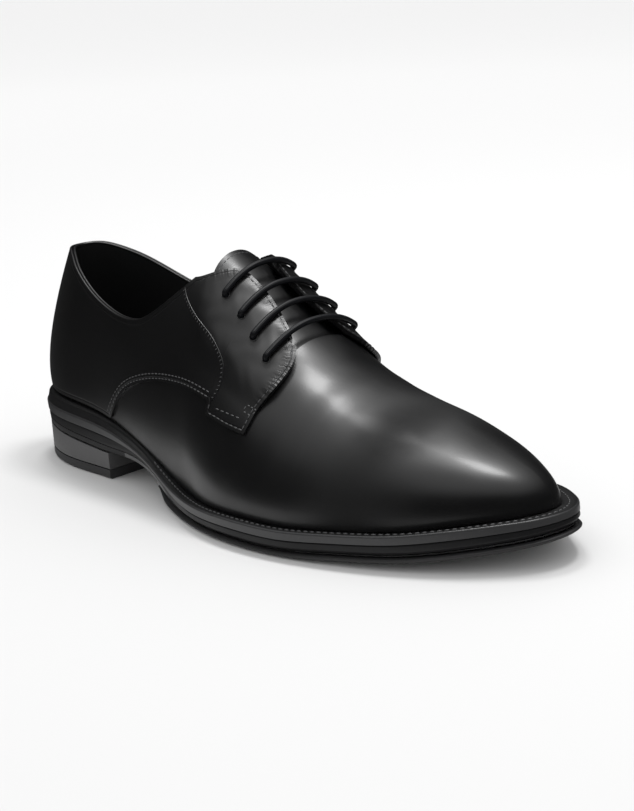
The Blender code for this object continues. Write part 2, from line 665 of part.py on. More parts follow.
def build_lace(finish, home):
    """One cord: four bars over the throat, joined by runs behind the facings."""
    over = QUARTER_STEP + FACING_LIFT + LACE_CLEAR + LACE_RADIUS
    under = QUARTER_STEP + FACING_LIFT - FACING_WALL - LACE_BEHIND - LACE_RADIUS
    radius = 2.0 * LACE_RADIUS
    corners, sharp = [], []
    for i, (s, outer, inner) in enumerate(EYELETS):
        bar = lace_bar(s, outer, inner, over)
        near, _ = eyelet_frame(s, outer, -1, under)
        far, _ = eyelet_frame(s, inner, 1, under)
        if i % 2:
            bar = bar[::-1]
            near, far = far, near
        corners += [near] + bar + [far]
        sharp += [True, True] + [False] * (len(bar) - 2) + [True, True]
    path = [corners[0]]
    for i in range(1, len(corners) - 1):
        if sharp[i]:
            path += fillet(corners[i - 1], corners[i], corners[i + 1], radius)
        else:
            path.append(corners[i])
    path.append(corners[-1])
    curve = bpy.data.curves.new("lace", "CURVE")
    curve.dimensions = "3D"
    line = curve.splines.new("POLY")
    line.points.add(len(path) - 1)
    for point, place in zip(line.points, path):
        point.co = (*place, 1.0)
    curve.bevel_depth = LACE_RADIUS
    curve.bevel_resolution = 1
    curve.use_fill_caps = True
    made = bpy.data.objects.new("lace", curve)
    home.objects.link(made)
    bpy.ops.object.select_all(action="DESELECT")
    made.select_set(True)
    bpy.context.view_layer.objects.active = made
    bpy.ops.object.convert(target="MESH")
    made = bpy.context.object
    weld = bmesh.new()
    weld.from_mesh(made.data)
    bmesh.ops.remove_doubles(weld, verts=weld.verts, dist=0.00002)
    bmesh.ops.recalc_face_normals(weld, faces=weld.faces)
    weld.to_mesh(made.data)
    weld.free()
    made.data.materials.clear()
    made.data.materials.append(finish["cord"])
    return made


def build_back_tab(finish, home):
    """Small bare roll on the back seam."""
    v = np.linspace(0.3, 0.7, 201)
    height = LAST.shell(np.zeros(1), v[None], -1, QUARTER_STEP)[0][:, 2]
    rings = []
    for w in np.linspace(-1.0, 1.0, 7):
        share = np.interp(TAB_MIDDLE + 0.5 * w * TAB_HEIGHT, height, v)
        full = TAB_THICK * max(0.35, math.sqrt(1 - w * w))
        across = np.linspace(-1.0, 1.0, 7)
        ring = []
        for u, outer in [(u, True) for u in across] + [(u, False) for u in across[-2:0:-1]]:
            rise = full * (math.sqrt(max(0.0, 1 - u ** 4)) if abs(u) < 1 else 0.35)
            if not outer:
                rise = 0.0
            off = QUARTER_STEP + GAP + rise
            side = -1 if u < 0 else 1
            along = np.array([abs(u) * TAB_WIDTH / 2 / LAST.side_length])
            ring.append(LAST.shell(along, np.array([[share]]), side, off)[0, 0])
        rings.append(np.array(ring))
    return ring_solid("back_tab", rings, finish["leather"], home)


def main():
    for item in list(bpy.data.objects):
        bpy.data.objects.remove(item, do_unlink=True)
    home = collection("derby_shoe")
    cutters = collection("cutters")
    finish = {
        "leather": material("black_leather", (0.012, 0.012, 0.013), 0.32),
        "lining": material("black_lining", (0.02, 0.02, 0.021), 0.70),
        "welt": material("black_welt", (0.03, 0.03, 0.032), 0.45),
        "edge": material("black_sole_edge", (0.035, 0.035, 0.037), 0.42),
        "stack": material("black_heel_stack", (0.055, 0.054, 0.055), 0.45),
        "rubber": material("black_rubber", (0.02, 0.02, 0.021), 0.60),
        "cord": material("black_waxed_cord", (0.016, 0.016, 0.018), 0.50)}
    build_sole(finish, home)
    upper = build_vamp(finish, home)
    quarters = build_quarters(cutters)
    punches = build_punches(cutters)
    boolean(upper, quarters, "UNION")
    boolean(upper, punches, "DIFFERENCE")
    build_tongue(finish, home)
    build_lace(finish, home)
    build_back_tab(finish, home)
    edge = np.concatenate([
        sole_ring(None, 0, count=800),
        sole_ring(None, rubber_floor, shift=RUBBER_INSET + 0.0003, lift=0.0008, count=800)])
    middle = 0.5 * (edge.min(0) + edge.max(0))
    for item in list(home.objects) + list(cutters.objects):
        item.location.x -= float(middle[0])
        item.location.y -= float(middle[1])


main()
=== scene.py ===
"""Black derby shoe for the right foot: leather, seams, lace, sole edges and a plain studio.

Metres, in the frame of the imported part: toe along +X, up +Z, outer side at -Y.
"""
import logging
import math
from dataclasses import dataclass, field
from enum import Enum
from typing import Callable, Sequence

import bpy
import numpy as np
from mathutils import Matrix, Vector
from mathutils.kdtree import KDTree


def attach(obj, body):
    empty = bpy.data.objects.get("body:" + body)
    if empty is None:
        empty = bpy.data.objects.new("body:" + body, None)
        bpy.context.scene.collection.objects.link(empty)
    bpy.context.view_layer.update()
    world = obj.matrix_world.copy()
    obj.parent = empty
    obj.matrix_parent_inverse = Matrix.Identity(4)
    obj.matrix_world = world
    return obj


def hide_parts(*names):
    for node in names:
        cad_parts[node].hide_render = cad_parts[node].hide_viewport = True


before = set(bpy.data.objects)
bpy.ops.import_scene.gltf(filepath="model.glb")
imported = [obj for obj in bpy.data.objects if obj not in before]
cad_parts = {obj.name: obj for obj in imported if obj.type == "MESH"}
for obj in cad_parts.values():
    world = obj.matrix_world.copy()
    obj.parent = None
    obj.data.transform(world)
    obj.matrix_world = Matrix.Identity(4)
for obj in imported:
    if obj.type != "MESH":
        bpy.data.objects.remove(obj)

LOG = logging.getLogger("derby_shoe")
MM = 0.001
LENGTH = 0.300          # unit of the length shares
BALL_WIDTH = 0.106      # unit of the width shares
INSTEP = 0.100          # unit of the height shares
WALL = 0.0016           # vamp and lining together
QUARTER_STEP = 0.0012   # quarters over the vamp
FACING_LIFT = 0.0017    # extra height of the loose facings
FACING_WALL = 0.0018
GAP = 0.00035
LACE_RADIUS = 0.00118
LACE_CLEAR = 0.0007     # room between the bars and the facings
LACE_BEHIND = 0.0007    # room between the runs behind and the facings
EYELET_RADIUS = 0.00165
BALL = 0.680
BREAST = 0.0692

# Outer edge of the welt: length share, width share to the outer side, to the inner side
OUTLINE = [
    (0.012, 0.132, 0.132), (0.042, 0.222, 0.222), (0.107, 0.306, 0.302),
    (0.200, 0.330, 0.311), (0.280, 0.350, 0.292), (0.353, 0.398, 0.264),
    (0.427, 0.473, 0.262), (0.507, 0.554, 0.305), (0.593, 0.589, 0.376),
    (0.680, 0.573, 0.433), (0.760, 0.514, 0.449), (0.840, 0.423, 0.416),
    (0.903, 0.320, 0.350), (0.953, 0.204, 0.258), (0.988, 0.089, 0.162)]
HEEL_POINT = (-0.002, 0.0)
TOE_POINT = (1.001, 0.052)
# Sole layers: length share; heights of welt edge, welt rise, midsole top, outsole top,
# outsole underside; widths of welt margin, midsole inset, outsole inset
SOLE = [
    (-0.007, 0.268, 0.052, 0.224, 0.198, 0.174, 0.044, 0.007, 0.010),
    (0.103, 0.272, 0.050, 0.226, 0.188, 0.157, 0.042, 0.007, 0.010),
    (0.177, 0.262, 0.048, 0.216, 0.170, 0.139, 0.037, 0.007, 0.010),
    (0.233, 0.242, 0.044, 0.202, 0.157, 0.127, 0.030, 0.008, 0.012),
    (0.280, 0.215, 0.042, 0.186, 0.145, 0.119, 0.022, 0.020, 0.028),
    (0.340, 0.176, 0.034, 0.154, 0.112, 0.087, 0.023, 0.024, 0.034),
    (0.400, 0.130, 0.018, 0.105, 0.060, 0.036, 0.040, 0.014, 0.024),
    (0.433, 0.114, 0.009, 0.083, 0.040, 0.026, 0.049, 0.009, 0.020),
    (0.473, 0.108, 0.003, 0.071, 0.034, 0.025, 0.051, 0.006, 0.019),
    (0.533, 0.110, 0.000, 0.070, 0.033, 0.025, 0.049, 0.005, 0.018),
    (0.600, 0.115, 0.000, 0.074, 0.034, 0.026, 0.049, 0.005, 0.018),
    (0.680, 0.117, 0.000, 0.076, 0.035, 0.027, 0.049, 0.005, 0.018),
    (0.760, 0.132, 0.000, 0.092, 0.051, 0.042, 0.050, 0.005, 0.018),
    (0.850, 0.153, 0.000, 0.112, 0.070, 0.061, 0.053, 0.005, 0.018),
    (0.907, 0.178, 0.000, 0.137, 0.095, 0.086, 0.057, 0.005, 0.019),
    (0.947, 0.194, 0.000, 0.155, 0.115, 0.105, 0.061, 0.006, 0.021),
    (1.003, 0.214, 0.000, 0.181, 0.148, 0.139, 0.066, 0.006, 0.022)]
# Underside of the forefoot rubber: length share, height share
SPRING = [
    (0.345, 0.062), (0.380, 0.036), (0.410, 0.012), (0.440, 0.0), (0.500, 0.0),
    (0.600, 0.0), (0.650, 0.0), (0.700, 0.003), (0.760, 0.0154), (0.850, 0.034), (0.907, 0.058),
    (0.947, 0.0775), (1.003, 0.115)]
# Ridge: length share, height share, width share off the axis
RIDGE = [
    (0.133, 1.400, 0.0), (0.200, 1.340, 0.004), (0.267, 1.266, 0.006), (0.333, 1.186, 0.008),
    (0.400, 1.095, 0.009), (0.467, 0.965, 0.009), (0.533, 0.812, 0.004), (0.600, 0.684, 0.002),
    (0.667, 0.604, 0.005), (0.733, 0.549, 0.013), (0.800, 0.498, 0.024), (0.853, 0.446, 0.032)]
HEEL_POLE, TOE_POLE, POLE_SOFT = 0.133, 0.853, 0.030
# Ribs: length share, rise share, then width shares: bulge out and in, crown out and in
RIB = [
    (-0.007, 0.28, 0.064, 0.064, 0.086, 0.086), (0.020, 0.28, 0.066, 0.066, 0.030, 0.030),
    (0.100, 0.31, 0.060, 0.058, -0.012, -0.012), (0.200, 0.38, 0.040, 0.062, 0.117, 0.116),
    (0.300, 0.40, 0.041, 0.090, 0.156, 0.168), (0.400, 0.42, 0.035, 0.118, 0.216, 0.282),
    (0.450, 0.42, 0.035, 0.121, 0.269, 0.350), (0.500, 0.42, 0.034, 0.116, 0.262, 0.374),
    (0.550, 0.43, 0.032, 0.100, 0.252, 0.383), (0.600, 0.44, 0.032, 0.075, 0.265, 0.347),
    (0.700, 0.50, 0.034, 0.040, 0.298, 0.231), (0.800, 0.54, 0.036, 0.014, 0.265, 0.187),
    (0.900, 0.52, 0.026, -0.016, 0.190, 0.160), (1.000, 0.48, 0.000, 0.000, 0.205, 0.205)]
# Top line seen from the side: length share, height share
COLLAR = [
    (-0.040, 0.966), (0.040, 0.968), (0.067, 0.980), (0.100, 0.958), (0.140, 0.905),
    (0.183, 0.842), (0.233, 0.785), (0.280, 0.760), (0.317, 0.775), (0.347, 0.825),
    (0.370, 0.878), (0.393, 0.938), (0.404, 0.972), (0.433, 1.030), (0.480, 1.090)]
# Seams in shares of the form: along from heel to toe, up from welt to ridge
THROAT = [
    (0.400, 0.700), (0.408, 0.726), (0.416, 0.760), (0.426, 0.807), (0.434, 0.848),
    (0.442, 0.886), (0.452, 0.910), (0.464, 0.918), (0.490, 0.919), (0.512, 0.907),
    (0.534, 0.884), (0.546, 0.866), (0.556, 0.842)]
FRONT = [
    (0.566, 0.797), (0.572, 0.740), (0.574, 0.667), (0.573, 0.608), (0.569, 0.550),
    (0.565, 0.492), (0.564, 0.438), (0.562, 0.382)]
ARCH_WAIST = [
    (0.258, 0.014), (0.272, 0.075), (0.292, 0.143), (0.324, 0.210), (0.360, 0.265),
    (0.398, 0.315), (0.438, 0.362), (0.4875, 0.397)]
ARCH_TAB = [(0.4885, 0.345), (0.506, 0.355), (0.526, 0.362), (0.542, 0.370), (0.562, 0.382)]
EYESTAY = [
    (0.390, 0.635), (0.404, 0.608), (0.434, 0.598), (0.464, 0.590), (0.488, 0.560),
    (0.496, 0.530), (0.500, 0.478), (0.496, 0.413)]
OPENING = [
    (0.376, 0.605), (0.390, 0.600), (0.440, 0.585), (0.480, 0.575), (0.530, 0.565),
    (0.560, 0.560), (1.000, 0.560)]
EYELETS = [
    (0.452, 0.755, 0.790), (0.482, 0.743, 0.768), (0.510, 0.718, 0.745), (0.540, 0.690, 0.722)]
# Second row on the tab, from end to end, and the corners of its tack
TAB_ROW = [(0.5040, 0.396), (0.5480, 0.430)]
TAB_TACK = [(0.547, 0.462), (0.549, 0.494), (0.566, 0.500), (0.561, 0.466)]
HEEL_SEAM = 0.014
VAMP_BACK = 0.556
COLLAR_END = 0.400
TONGUE_TOP, TONGUE_FRONT, TONGUE_ROUND, TONGUE_EDGE = 0.412, 0.600, 0.034, 0.640
# Soft creases over the vamp: along share, up share, half widths along and up, depth in mm
CREASES = [
    (0.618, 0.78, 0.016, 0.20, -0.10), (0.646, 0.82, 0.015, 0.22, 0.09),
    (0.674, 0.80, 0.017, 0.20, -0.09), (0.720, 0.72, 0.026, 0.20, -0.16),
    (0.590, 0.42, 0.015, 0.12, -0.08), (0.615, 0.38, 0.015, 0.12, 0.08)]

# Where walking dulls the vamp: length share, half width; added roughness
FLEX_PLACE, FLEX_HALF, DULLED = 0.770, 0.060, 0.42

Table = Sequence[Sequence[float]]
Curve = Callable[[np.ndarray], np.ndarray]


def natural(table: Table) -> Curve:
    """Make a cubic spline through the rows of a table.

    Args:
        table: rows whose first number is the place and whose others are the values.

    Returns:
        A function of the place that gives the values in its last axis.
    """
    rows = np.asarray(table, float)
    knots, values = rows[:, 0], rows[:, 1:]
    count = len(knots)
    step = np.diff(knots)
    left = np.eye(count)
    right = np.zeros_like(values)
    for i in range(1, count - 1):
        left[i, i - 1:i + 2] = (step[i - 1], 2 * (step[i - 1] + step[i]), step[i])
        right[i] = 6 * ((values[i + 1] - values[i]) / step[i] - (values[i] - values[i - 1]) / step[i - 1])
    bend = np.linalg.solve(left, right)

    def at(x: np.ndarray) -> np.ndarray:
        """Values at x."""
        x = np.clip(np.asarray(x, float), knots[0], knots[-1])
        k = np.clip(np.searchsorted(knots, x, side="right") - 1, 0, count - 2)
        h = step[k][..., None]
        t = (x - knots[k])[..., None]
        u = h - t
        curve = (bend[k] * u ** 3 + bend[k + 1] * t ** 3) / (6 * h)
        return curve + (values[k] / h - bend[k] * h / 6) * u + (values[k + 1] / h - bend[k + 1] * h / 6) * t

    return at


def closed_curve(points: Table, samples: int) -> np.ndarray:
    """Make a smooth closed curve.

    Args:
        points: corners that the curve passes through.
        samples: number of points to return.

    Returns:
        Points of the curve, the last one equal to the first.
    """
    p = np.asarray(points, float)
    count = len(p)
    step = np.linalg.norm(np.roll(p, -1, 0) - p, axis=1) ** 0.75
    left = np.zeros((count, count))
    right = np.zeros_like(p)
    for i in range(count):
        before, after = step[i - 1], step[i]
        left[i, i - 1] += before
        left[i, i] += 2 * (before + after)
        left[i, (i + 1) % count] += after
        right[i] = 6 * ((p[(i + 1) % count] - p[i]) / after - (p[i] - p[i - 1]) / before)
    bend = np.linalg.solve(left, right)
    knots = np.concatenate([[0.0], np.cumsum(step)])
    place = np.linspace(0, knots[-1], samples)
    k = np.clip(np.searchsorted(knots, place, side="right") - 1, 0, count - 1)
    nxt = (k + 1) % count
    h = step[k][:, None]
    t = (place - knots[k])[:, None]
    u = h - t
    curve = (bend[k] * u ** 3 + bend[nxt] * t ** 3) / (6 * h)
    return curve + (p[k] / h - bend[k] * h / 6) * u + (p[nxt] / h - bend[nxt] * h / 6) * t


def smooth(x: np.ndarray) -> np.ndarray:
    """Rise smoothly from 0 to 1 as x goes from 0 to 1."""
    x = np.clip(x, 0.0, 1.0)
    return x * x * (3 - 2 * x)


def soft_clamp(x: np.ndarray, low: float, high: float, soft: float) -> np.ndarray:
    """Keep x between low and high with rounded corners."""
    up = (x - low) + np.sqrt((x - low) ** 2 + soft ** 2)
    down = (x - high) + np.sqrt((x - high) ** 2 + soft ** 2)
    return low + 0.5 * up - 0.5 * down


def unit(vectors: np.ndarray) -> np.ndarray:
    """Scale vectors in the last axis to length 1."""
    return vectors / np.maximum(np.linalg.norm(vectors, axis=-1), 1e-12)[..., None]


def run_of(points: np.ndarray) -> np.ndarray:
    """Length along a path up to each of its points."""
    return np.concatenate([[0.0], np.cumsum(np.linalg.norm(np.diff(points, axis=0), axis=1))])


class Form:
    """The foot's form: outline of the sole, and ribs up to the ridge."""

    def __init__(self) -> None:
        """Lay out the outline and the splines of every table."""
        outer = [(x * LENGTH, -a * BALL_WIDTH) for x, a, b in OUTLINE]
        inner = [(x * LENGTH, b * BALL_WIDTH) for x, a, b in OUTLINE]
        heel = [(HEEL_POINT[0] * LENGTH, HEEL_POINT[1] * BALL_WIDTH)]
        toe = [(TOE_POINT[0] * LENGTH, TOE_POINT[1] * BALL_WIDTH)]
        line = closed_curve(heel + outer + toe + inner[::-1], 4001)
        along = np.gradient(line, axis=0)
        along[0] = along[-1] = line[1] - line[-2]
        along = unit(along)
        out = np.stack([along[:, 1], -along[:, 0]], 1)
        tip = int(np.argmax(line[:, 0]))
        self.sides: dict[int, tuple[np.ndarray, np.ndarray, np.ndarray]] = {}
        for side, part in ((-1, slice(0, tip + 1)), (1, slice(4000, tip - 1, -1))):
            run = run_of(line[part])
            self.sides[side] = (run / run[-1], line[part], out[part])
            self.side_length = float(run[-1])
        self.sole, self.rubber = natural(SOLE), natural(SPRING)
        self.ridge, self.rib, self.collar = natural(RIDGE), natural(RIB), natural(COLLAR)
        self.middle = self._middle()

    def _middle(self) -> np.ndarray:
        """Middle of the footprint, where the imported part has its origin."""
        s = np.concatenate([np.linspace(0, 1, 401), [1.0]])
        rings = []
        for side in (-1, 1):
            rings.append(self.edge(side, s, None, 0.0, 0))
            rings.append(self.edge(side, s, None, 0.0009, self.floor, 0.0008))
        rings = np.concatenate(rings)
        middle = 0.5 * (rings.min(0) + rings.max(0))
        return np.array([middle[0], middle[1], 0.0])

    def plan(self, s: np.ndarray, side: int, inset: float | np.ndarray = 0.0) -> np.ndarray:
        """Points of the outline, moved inward by inset; s runs from heel 0 to toe 1."""
        run, p, n = self.sides[side]
        point = np.stack([np.interp(s, run, p[:, i]) for i in (0, 1)], -1)
        normal = np.stack([np.interp(s, run, n[:, i]) for i in (0, 1)], -1)
        return point - normal * np.broadcast_to(inset, np.shape(s))[..., None]

    def layer(self, x: np.ndarray) -> np.ndarray:
        """Sole table at x: heights and widths in metres."""
        row = self.sole(np.asarray(x) / LENGTH)
        return np.concatenate([row[..., :5] * INSTEP, row[..., 5:] * BALL_WIDTH], -1)

    def floor(self, x: np.ndarray) -> np.ndarray:
        """Height of the forefoot's underside at x."""
        return self.rubber(np.asarray(x) / LENGTH)[..., 0] * INSTEP

    def lean(self, point: np.ndarray, height: np.ndarray) -> np.ndarray:
        """Plan points at a height, set back square to the toe spring."""
        share = point[..., 0] / LENGTH
        low = self.floor(point[..., 0])
        ahead = self.floor(point[..., 0] + 0.001 * LENGTH)
        slope = np.where(share > BALL, np.maximum(ahead - low, 0.0) / (0.001 * LENGTH), 0.0)
        return np.stack([point[..., 0] - slope * (height - low), point[..., 1], height], -1)

    def edge(self, side: int, s: np.ndarray, column: int | None, shift: float | np.ndarray,
             height: int | Callable[[np.ndarray], np.ndarray], lift: float = 0.0) -> np.ndarray:
        """One edge line of a sole layer.

        Args:
            side: -1 for the outer side, 1 for the inner side.
            s: shares along the outline.
            column: width column of the sole table that insets the line, or None.
            shift: further inset in metres.
            height: height column of the sole table, or a function of x.
            lift: metres added to the height.

        Returns:
            Points of the line.
        """
        inset = np.full(np.shape(s), shift)
        if column is not None:
            inset = inset + self.layer(self.plan(s, side)[:, 0])[:, column]
        point = self.plan(s, side, inset)
        level = height(point[:, 0]) if callable(height) else self.layer(point[:, 0])[:, height]
        return self.lean(point, level + lift)

    def feather(self, s: np.ndarray, side: int) -> np.ndarray:
        """Bottom edge of the upper."""
        margin = self.layer(self.plan(s, side)[..., 0])[..., 5]
        point = self.plan(s, side, margin)
        row = self.layer(point[..., 0])
        return self.lean(point, row[..., 0] + row[..., 1])

    def crest(self, s: np.ndarray) -> tuple[np.ndarray, np.ndarray]:
        """Points of the ridge above ribs s, with the slope there."""
        x = 0.5 * (self.feather(s, -1)[..., 0] + self.feather(s, 1)[..., 0]) / LENGTH
        x = soft_clamp(x, HEEL_POLE, TOE_POLE, POLE_SOFT)
        here, ahead = self.ridge(x), self.ridge(x + 0.001)
        slope = (ahead[..., 0] - here[..., 0]) * INSTEP / (0.001 * LENGTH)
        return np.stack([x * LENGTH, here[..., 1] * BALL_WIDTH, here[..., 0] * INSTEP], -1), slope

    def skin(self, s: np.ndarray, v: np.ndarray, side: int) -> np.ndarray:
        """Outer face of the vamp: s (n) from heel to toe, v (n, m) from welt to ridge."""
        foot = self.feather(s, side)
        top, slope = self.crest(s)
        row = self.rib(foot[..., 0] / LENGTH)
        bulge = row[..., 1 if side < 0 else 2] * BALL_WIDTH
        crown = row[..., 3 if side < 0 else 4] * BALL_WIDTH
        away = unit(foot[..., :2] - top[..., :2])
        low, high = foot.copy(), top.copy()
        low[..., :2] += away * bulge[..., None]
        low[..., 2] += row[..., 0] * (top[..., 2] - foot[..., 2])
        high[..., :2] += away * crown[..., None]
        high[..., 2] += slope * away[..., 0] * crown
        v = np.asarray(v, float)[..., None]
        a, b, c, d = (q[..., None, :] for q in (foot, low, high, top))
        return (1 - v) ** 3 * a + 3 * v * (1 - v) ** 2 * b + 3 * v * v * (1 - v) * c + v ** 3 * d

    def _side_shell(self, s: np.ndarray, v: np.ndarray, side: int, off: np.ndarray | float) -> np.ndarray:
        """Points at a distance off outward from the skin of one side."""
        low, high = np.clip(s - 0.002, 0, 1), np.clip(s + 0.002, 0, 1)
        across = self.skin(s, v + 0.002, side) - self.skin(s, v - 0.002, side)
        along = self.skin(high, v, side) - self.skin(low, v, side)
        normal = unit(np.cross(across, along) * side)
        return self.skin(s, v, side) + normal * np.broadcast_to(off, v.shape)[..., None]

    def shell(self, s: np.ndarray, v: np.ndarray, side: int, off: np.ndarray | float = 0.0) -> np.ndarray:
        """Points off outward from the skin, both sides meeting at heel and toe."""
        s, v = np.asarray(s, float), np.asarray(v, float)
        near = self._side_shell(s, v, side, off)
        other = self._side_shell(s, v, -side, off)
        meet = ((s == 0.0) | (s == 1.0))[:, None, None]
        return np.where(meet, 0.5 * (near + other), near)

    def path(self, pairs: np.ndarray, side: int, off: np.ndarray | float) -> tuple[np.ndarray, np.ndarray]:
        """Points and outward directions along pairs of shares (n, 2)."""
        off = np.broadcast_to(off, (len(pairs),))
        low = self.shell(pairs[:, 0], pairs[:, 1:], side, off[:, None])[:, 0]
        high = self.shell(pairs[:, 0], pairs[:, 1:], side, off[:, None] + 0.001)[:, 0]
        return low, unit(high - low)

    def top_line(self, s: np.ndarray, side: int, off: float) -> np.ndarray:
        """Share up each rib at which a shell meets the collar."""
        v = np.linspace(0.2, 1.0, 401)
        points = self.shell(s, np.tile(v, (len(s), 1)), side, off)
        over = points[..., 2] - self.collar(points[..., 0] / LENGTH)[..., 0] * INSTEP
        found = []
        for row in over:
            k = int(np.argmax(row > 0))
            found.append(v[k - 1] + row[k - 1] / (row[k - 1] - row[k]) * (v[k] - v[k - 1]))
        return np.array(found)


class Bench:
    """Tools for making a piece: a primitive, its places, and edit-mode work on it."""

    def __init__(self, form: Form) -> None:
        """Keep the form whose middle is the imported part's origin."""
        self.form = form
        self.centre = np.array([0.5 * LENGTH, 0.0, 0.5 * INSTEP]) - form.middle

    @staticmethod
    def alone(piece: bpy.types.Object) -> None:
        """Select one piece and nothing else."""
        bpy.ops.object.select_all(action="DESELECT")
        piece.select_set(True)
        bpy.context.view_layer.objects.active = piece

    def sheet(self, name: str, points: np.ndarray, strips: Sequence[int] | None = None) -> bpy.types.Object:
        """Shape a grid primitive into a curved sheet.

        Args:
            name: name of the piece.
            points: places (columns, rows, 3) in the form's frame.
            strips: material slot of each column of faces.

        Returns:
            The piece, with a UV map in metres along columns and rows.
        """
        columns, rows = points.shape[:2]
        bpy.ops.object.select_all(action="DESELECT")
        bpy.ops.mesh.primitive_grid_add(x_subdivisions=columns - 1, y_subdivisions=rows - 1, size=1)
        piece = bpy.context.object
        piece.name = piece.data.name = name
        placed = points - self.form.middle
        piece.data.vertices.foreach_set("co", placed.transpose(1, 0, 2).reshape(-1))
        middle_row, middle_column = placed[:, rows // 2], placed[columns // 2]
        u = np.tile(run_of(middle_row), (rows, 1)).reshape(-1)
        w = np.repeat(run_of(middle_column), columns)
        self.write_uv(piece, np.stack([u, w], 1))
        if strips is not None:
            piece.data.polygons.foreach_set("material_index", np.tile(strips, rows - 1).astype(np.int32))
        piece.data.update()
        return piece

    @staticmethod
    def write_uv(piece: bpy.types.Object, values: np.ndarray) -> None:
        """Write the UV map from one pair of numbers a point."""
        mesh = piece.data
        corner = np.empty(len(mesh.loops), np.int32)
        mesh.loops.foreach_get("vertex_index", corner)
        mesh.uv_layers[0].data.foreach_set("uv", values[corner].reshape(-1).astype(np.float32))

    def weld(self, piece: bpy.types.Object, solid: bool = False, cap: bool = False) -> None:
        """Merge doubles, close an open end, and turn a solid's faces outward."""
        self.alone(piece)
        bpy.ops.object.mode_set(mode="EDIT")
        bpy.ops.mesh.select_all(action="SELECT")
        bpy.ops.mesh.remove_doubles(threshold=0.00001)
        bpy.ops.mesh.dissolve_degenerate(threshold=0.000005)
        if cap:
            bpy.ops.mesh.select_all(action="DESELECT")
            bpy.ops.mesh.select_mode(type="EDGE")
            bpy.ops.mesh.select_non_manifold(extend=False)
            bpy.ops.mesh.edge_face_add()
            bpy.ops.mesh.select_mode(type="VERT")
        if solid:
            bpy.ops.mesh.select_all(action="SELECT")
            bpy.ops.mesh.normals_make_consistent(inside=False)
        bpy.ops.object.mode_set(mode="OBJECT")

    def face_out(self, piece: bpy.types.Object) -> None:
        """Turn an open sheet so that its faces point away from the shoe's middle."""
        total = 0.0
        for face in piece.data.polygons:
            total += face.area * float((np.array(face.center) - self.centre) @ np.array(face.normal))
        if total < 0:
            self.alone(piece)
            bpy.ops.object.mode_set(mode="EDIT")
            bpy.ops.mesh.select_all(action="SELECT")
            bpy.ops.mesh.flip_normals()
            bpy.ops.object.mode_set(mode="OBJECT")

    def thicken(self, piece: bpy.types.Object, wall: float, share: np.ndarray | None = None,
                rim_slot: int = 0) -> None:
        """Give an open sheet its wall, inward.

        Args:
            piece: the sheet.
            wall: thickest wall in metres.
            share: share of the wall at each point, if it changes.
            rim_slot: steps from the face's material slot to the cut edge's slot.
        """
        self.alone(piece)
        step = piece.modifiers.new("wall", "SOLIDIFY")
        step.thickness, step.offset = wall, -1.0
        step.use_even_offset, step.use_rim = True, True
        step.material_offset_rim = rim_slot
        if share is not None:
            group = piece.vertex_groups.new(name="wall")
            levels = np.round(share, 2)
            for level in np.unique(levels):
                group.add(np.nonzero(levels == level)[0].tolist(), float(level), "REPLACE")
            step.vertex_group = "wall"
        bpy.ops.object.modifier_apply(modifier=step.name)

    def shade(self, piece: bpy.types.Object, angle: float = 38.0) -> None:
        """Shade smoothly except over edges sharper than the angle."""
        self.alone(piece)
        bpy.ops.object.shade_smooth_by_angle(angle=math.radians(angle))

    def loft(self, name: str, outer: Sequence[np.ndarray], inner: Sequence[np.ndarray],
             slots: Sequence[int], across: int = 8, cap: bool = False) -> bpy.types.Object:
        """Close a solid between the level lines of its two sides.

        Args:
            name: name of the piece.
            outer: level lines (n, 3) of the outer side, from the bottom to the top.
            inner: the same for the inner side.
            slots: material slot of each strip between two levels; the faces across take
                the first and last.
            across: faces across the top and the bottom.
            cap: whether an open end is closed.

        Returns:
            The piece.
        """
        lines = list(outer)
        strips = list(slots)
        for t in np.linspace(0, 1, across + 1)[1:-1]:
            lines.append(outer[-1] + (inner[-1] - outer[-1]) * t)
        strips += [slots[-1]] * across
        lines += list(inner[::-1])
        strips += list(slots[::-1])
        for t in np.linspace(0, 1, across + 1)[1:-1]:
            lines.append(inner[0] + (outer[0] - inner[0]) * t)
        strips += [slots[0]] * across
        lines.append(lines[0])
        piece = self.sheet(name, np.stack(lines, 0), strips)
        self.weld(piece, solid=True, cap=cap)
        self.shade(piece)
        return piece

    def soften(self, levels: Sequence[np.ndarray], slots: Sequence[int], radius: float
               ) -> tuple[list[np.ndarray], list[int]]:
        """Round the inner corners of a stack of level lines.

        Args:
            levels: level lines (n, 3), from the bottom to the top.
            slots: material slot of each strip between two levels.
            radius: reach of each rounding in metres.

        Returns:
            The longer stack and its slots.
        """
        lines, strips = [levels[0]], []
        for k in range(1, len(levels) - 1):
            back, on = levels[k - 1] - levels[k], levels[k + 1] - levels[k]
            far_back, far_on = np.linalg.norm(back, axis=1), np.linalg.norm(on, axis=1)
            reach_back, reach_on = np.minimum(radius, 0.45 * far_back), np.minimum(radius, 0.45 * far_on)
            start = levels[k] + unit(back) * reach_back[:, None]
            end = levels[k] + unit(on) * reach_on[:, None]
            lines.append(start)
            strips.append(slots[k - 1])
            for t in (0.25, 0.5, 0.75, 1.0):
                lines.append((1 - t) ** 2 * start + 2 * t * (1 - t) * levels[k] + t * t * end)
                strips.append(slots[k - 1] if t < 0.6 else slots[k])
        lines.append(levels[-1])
        strips.append(slots[-1])
        return lines, strips

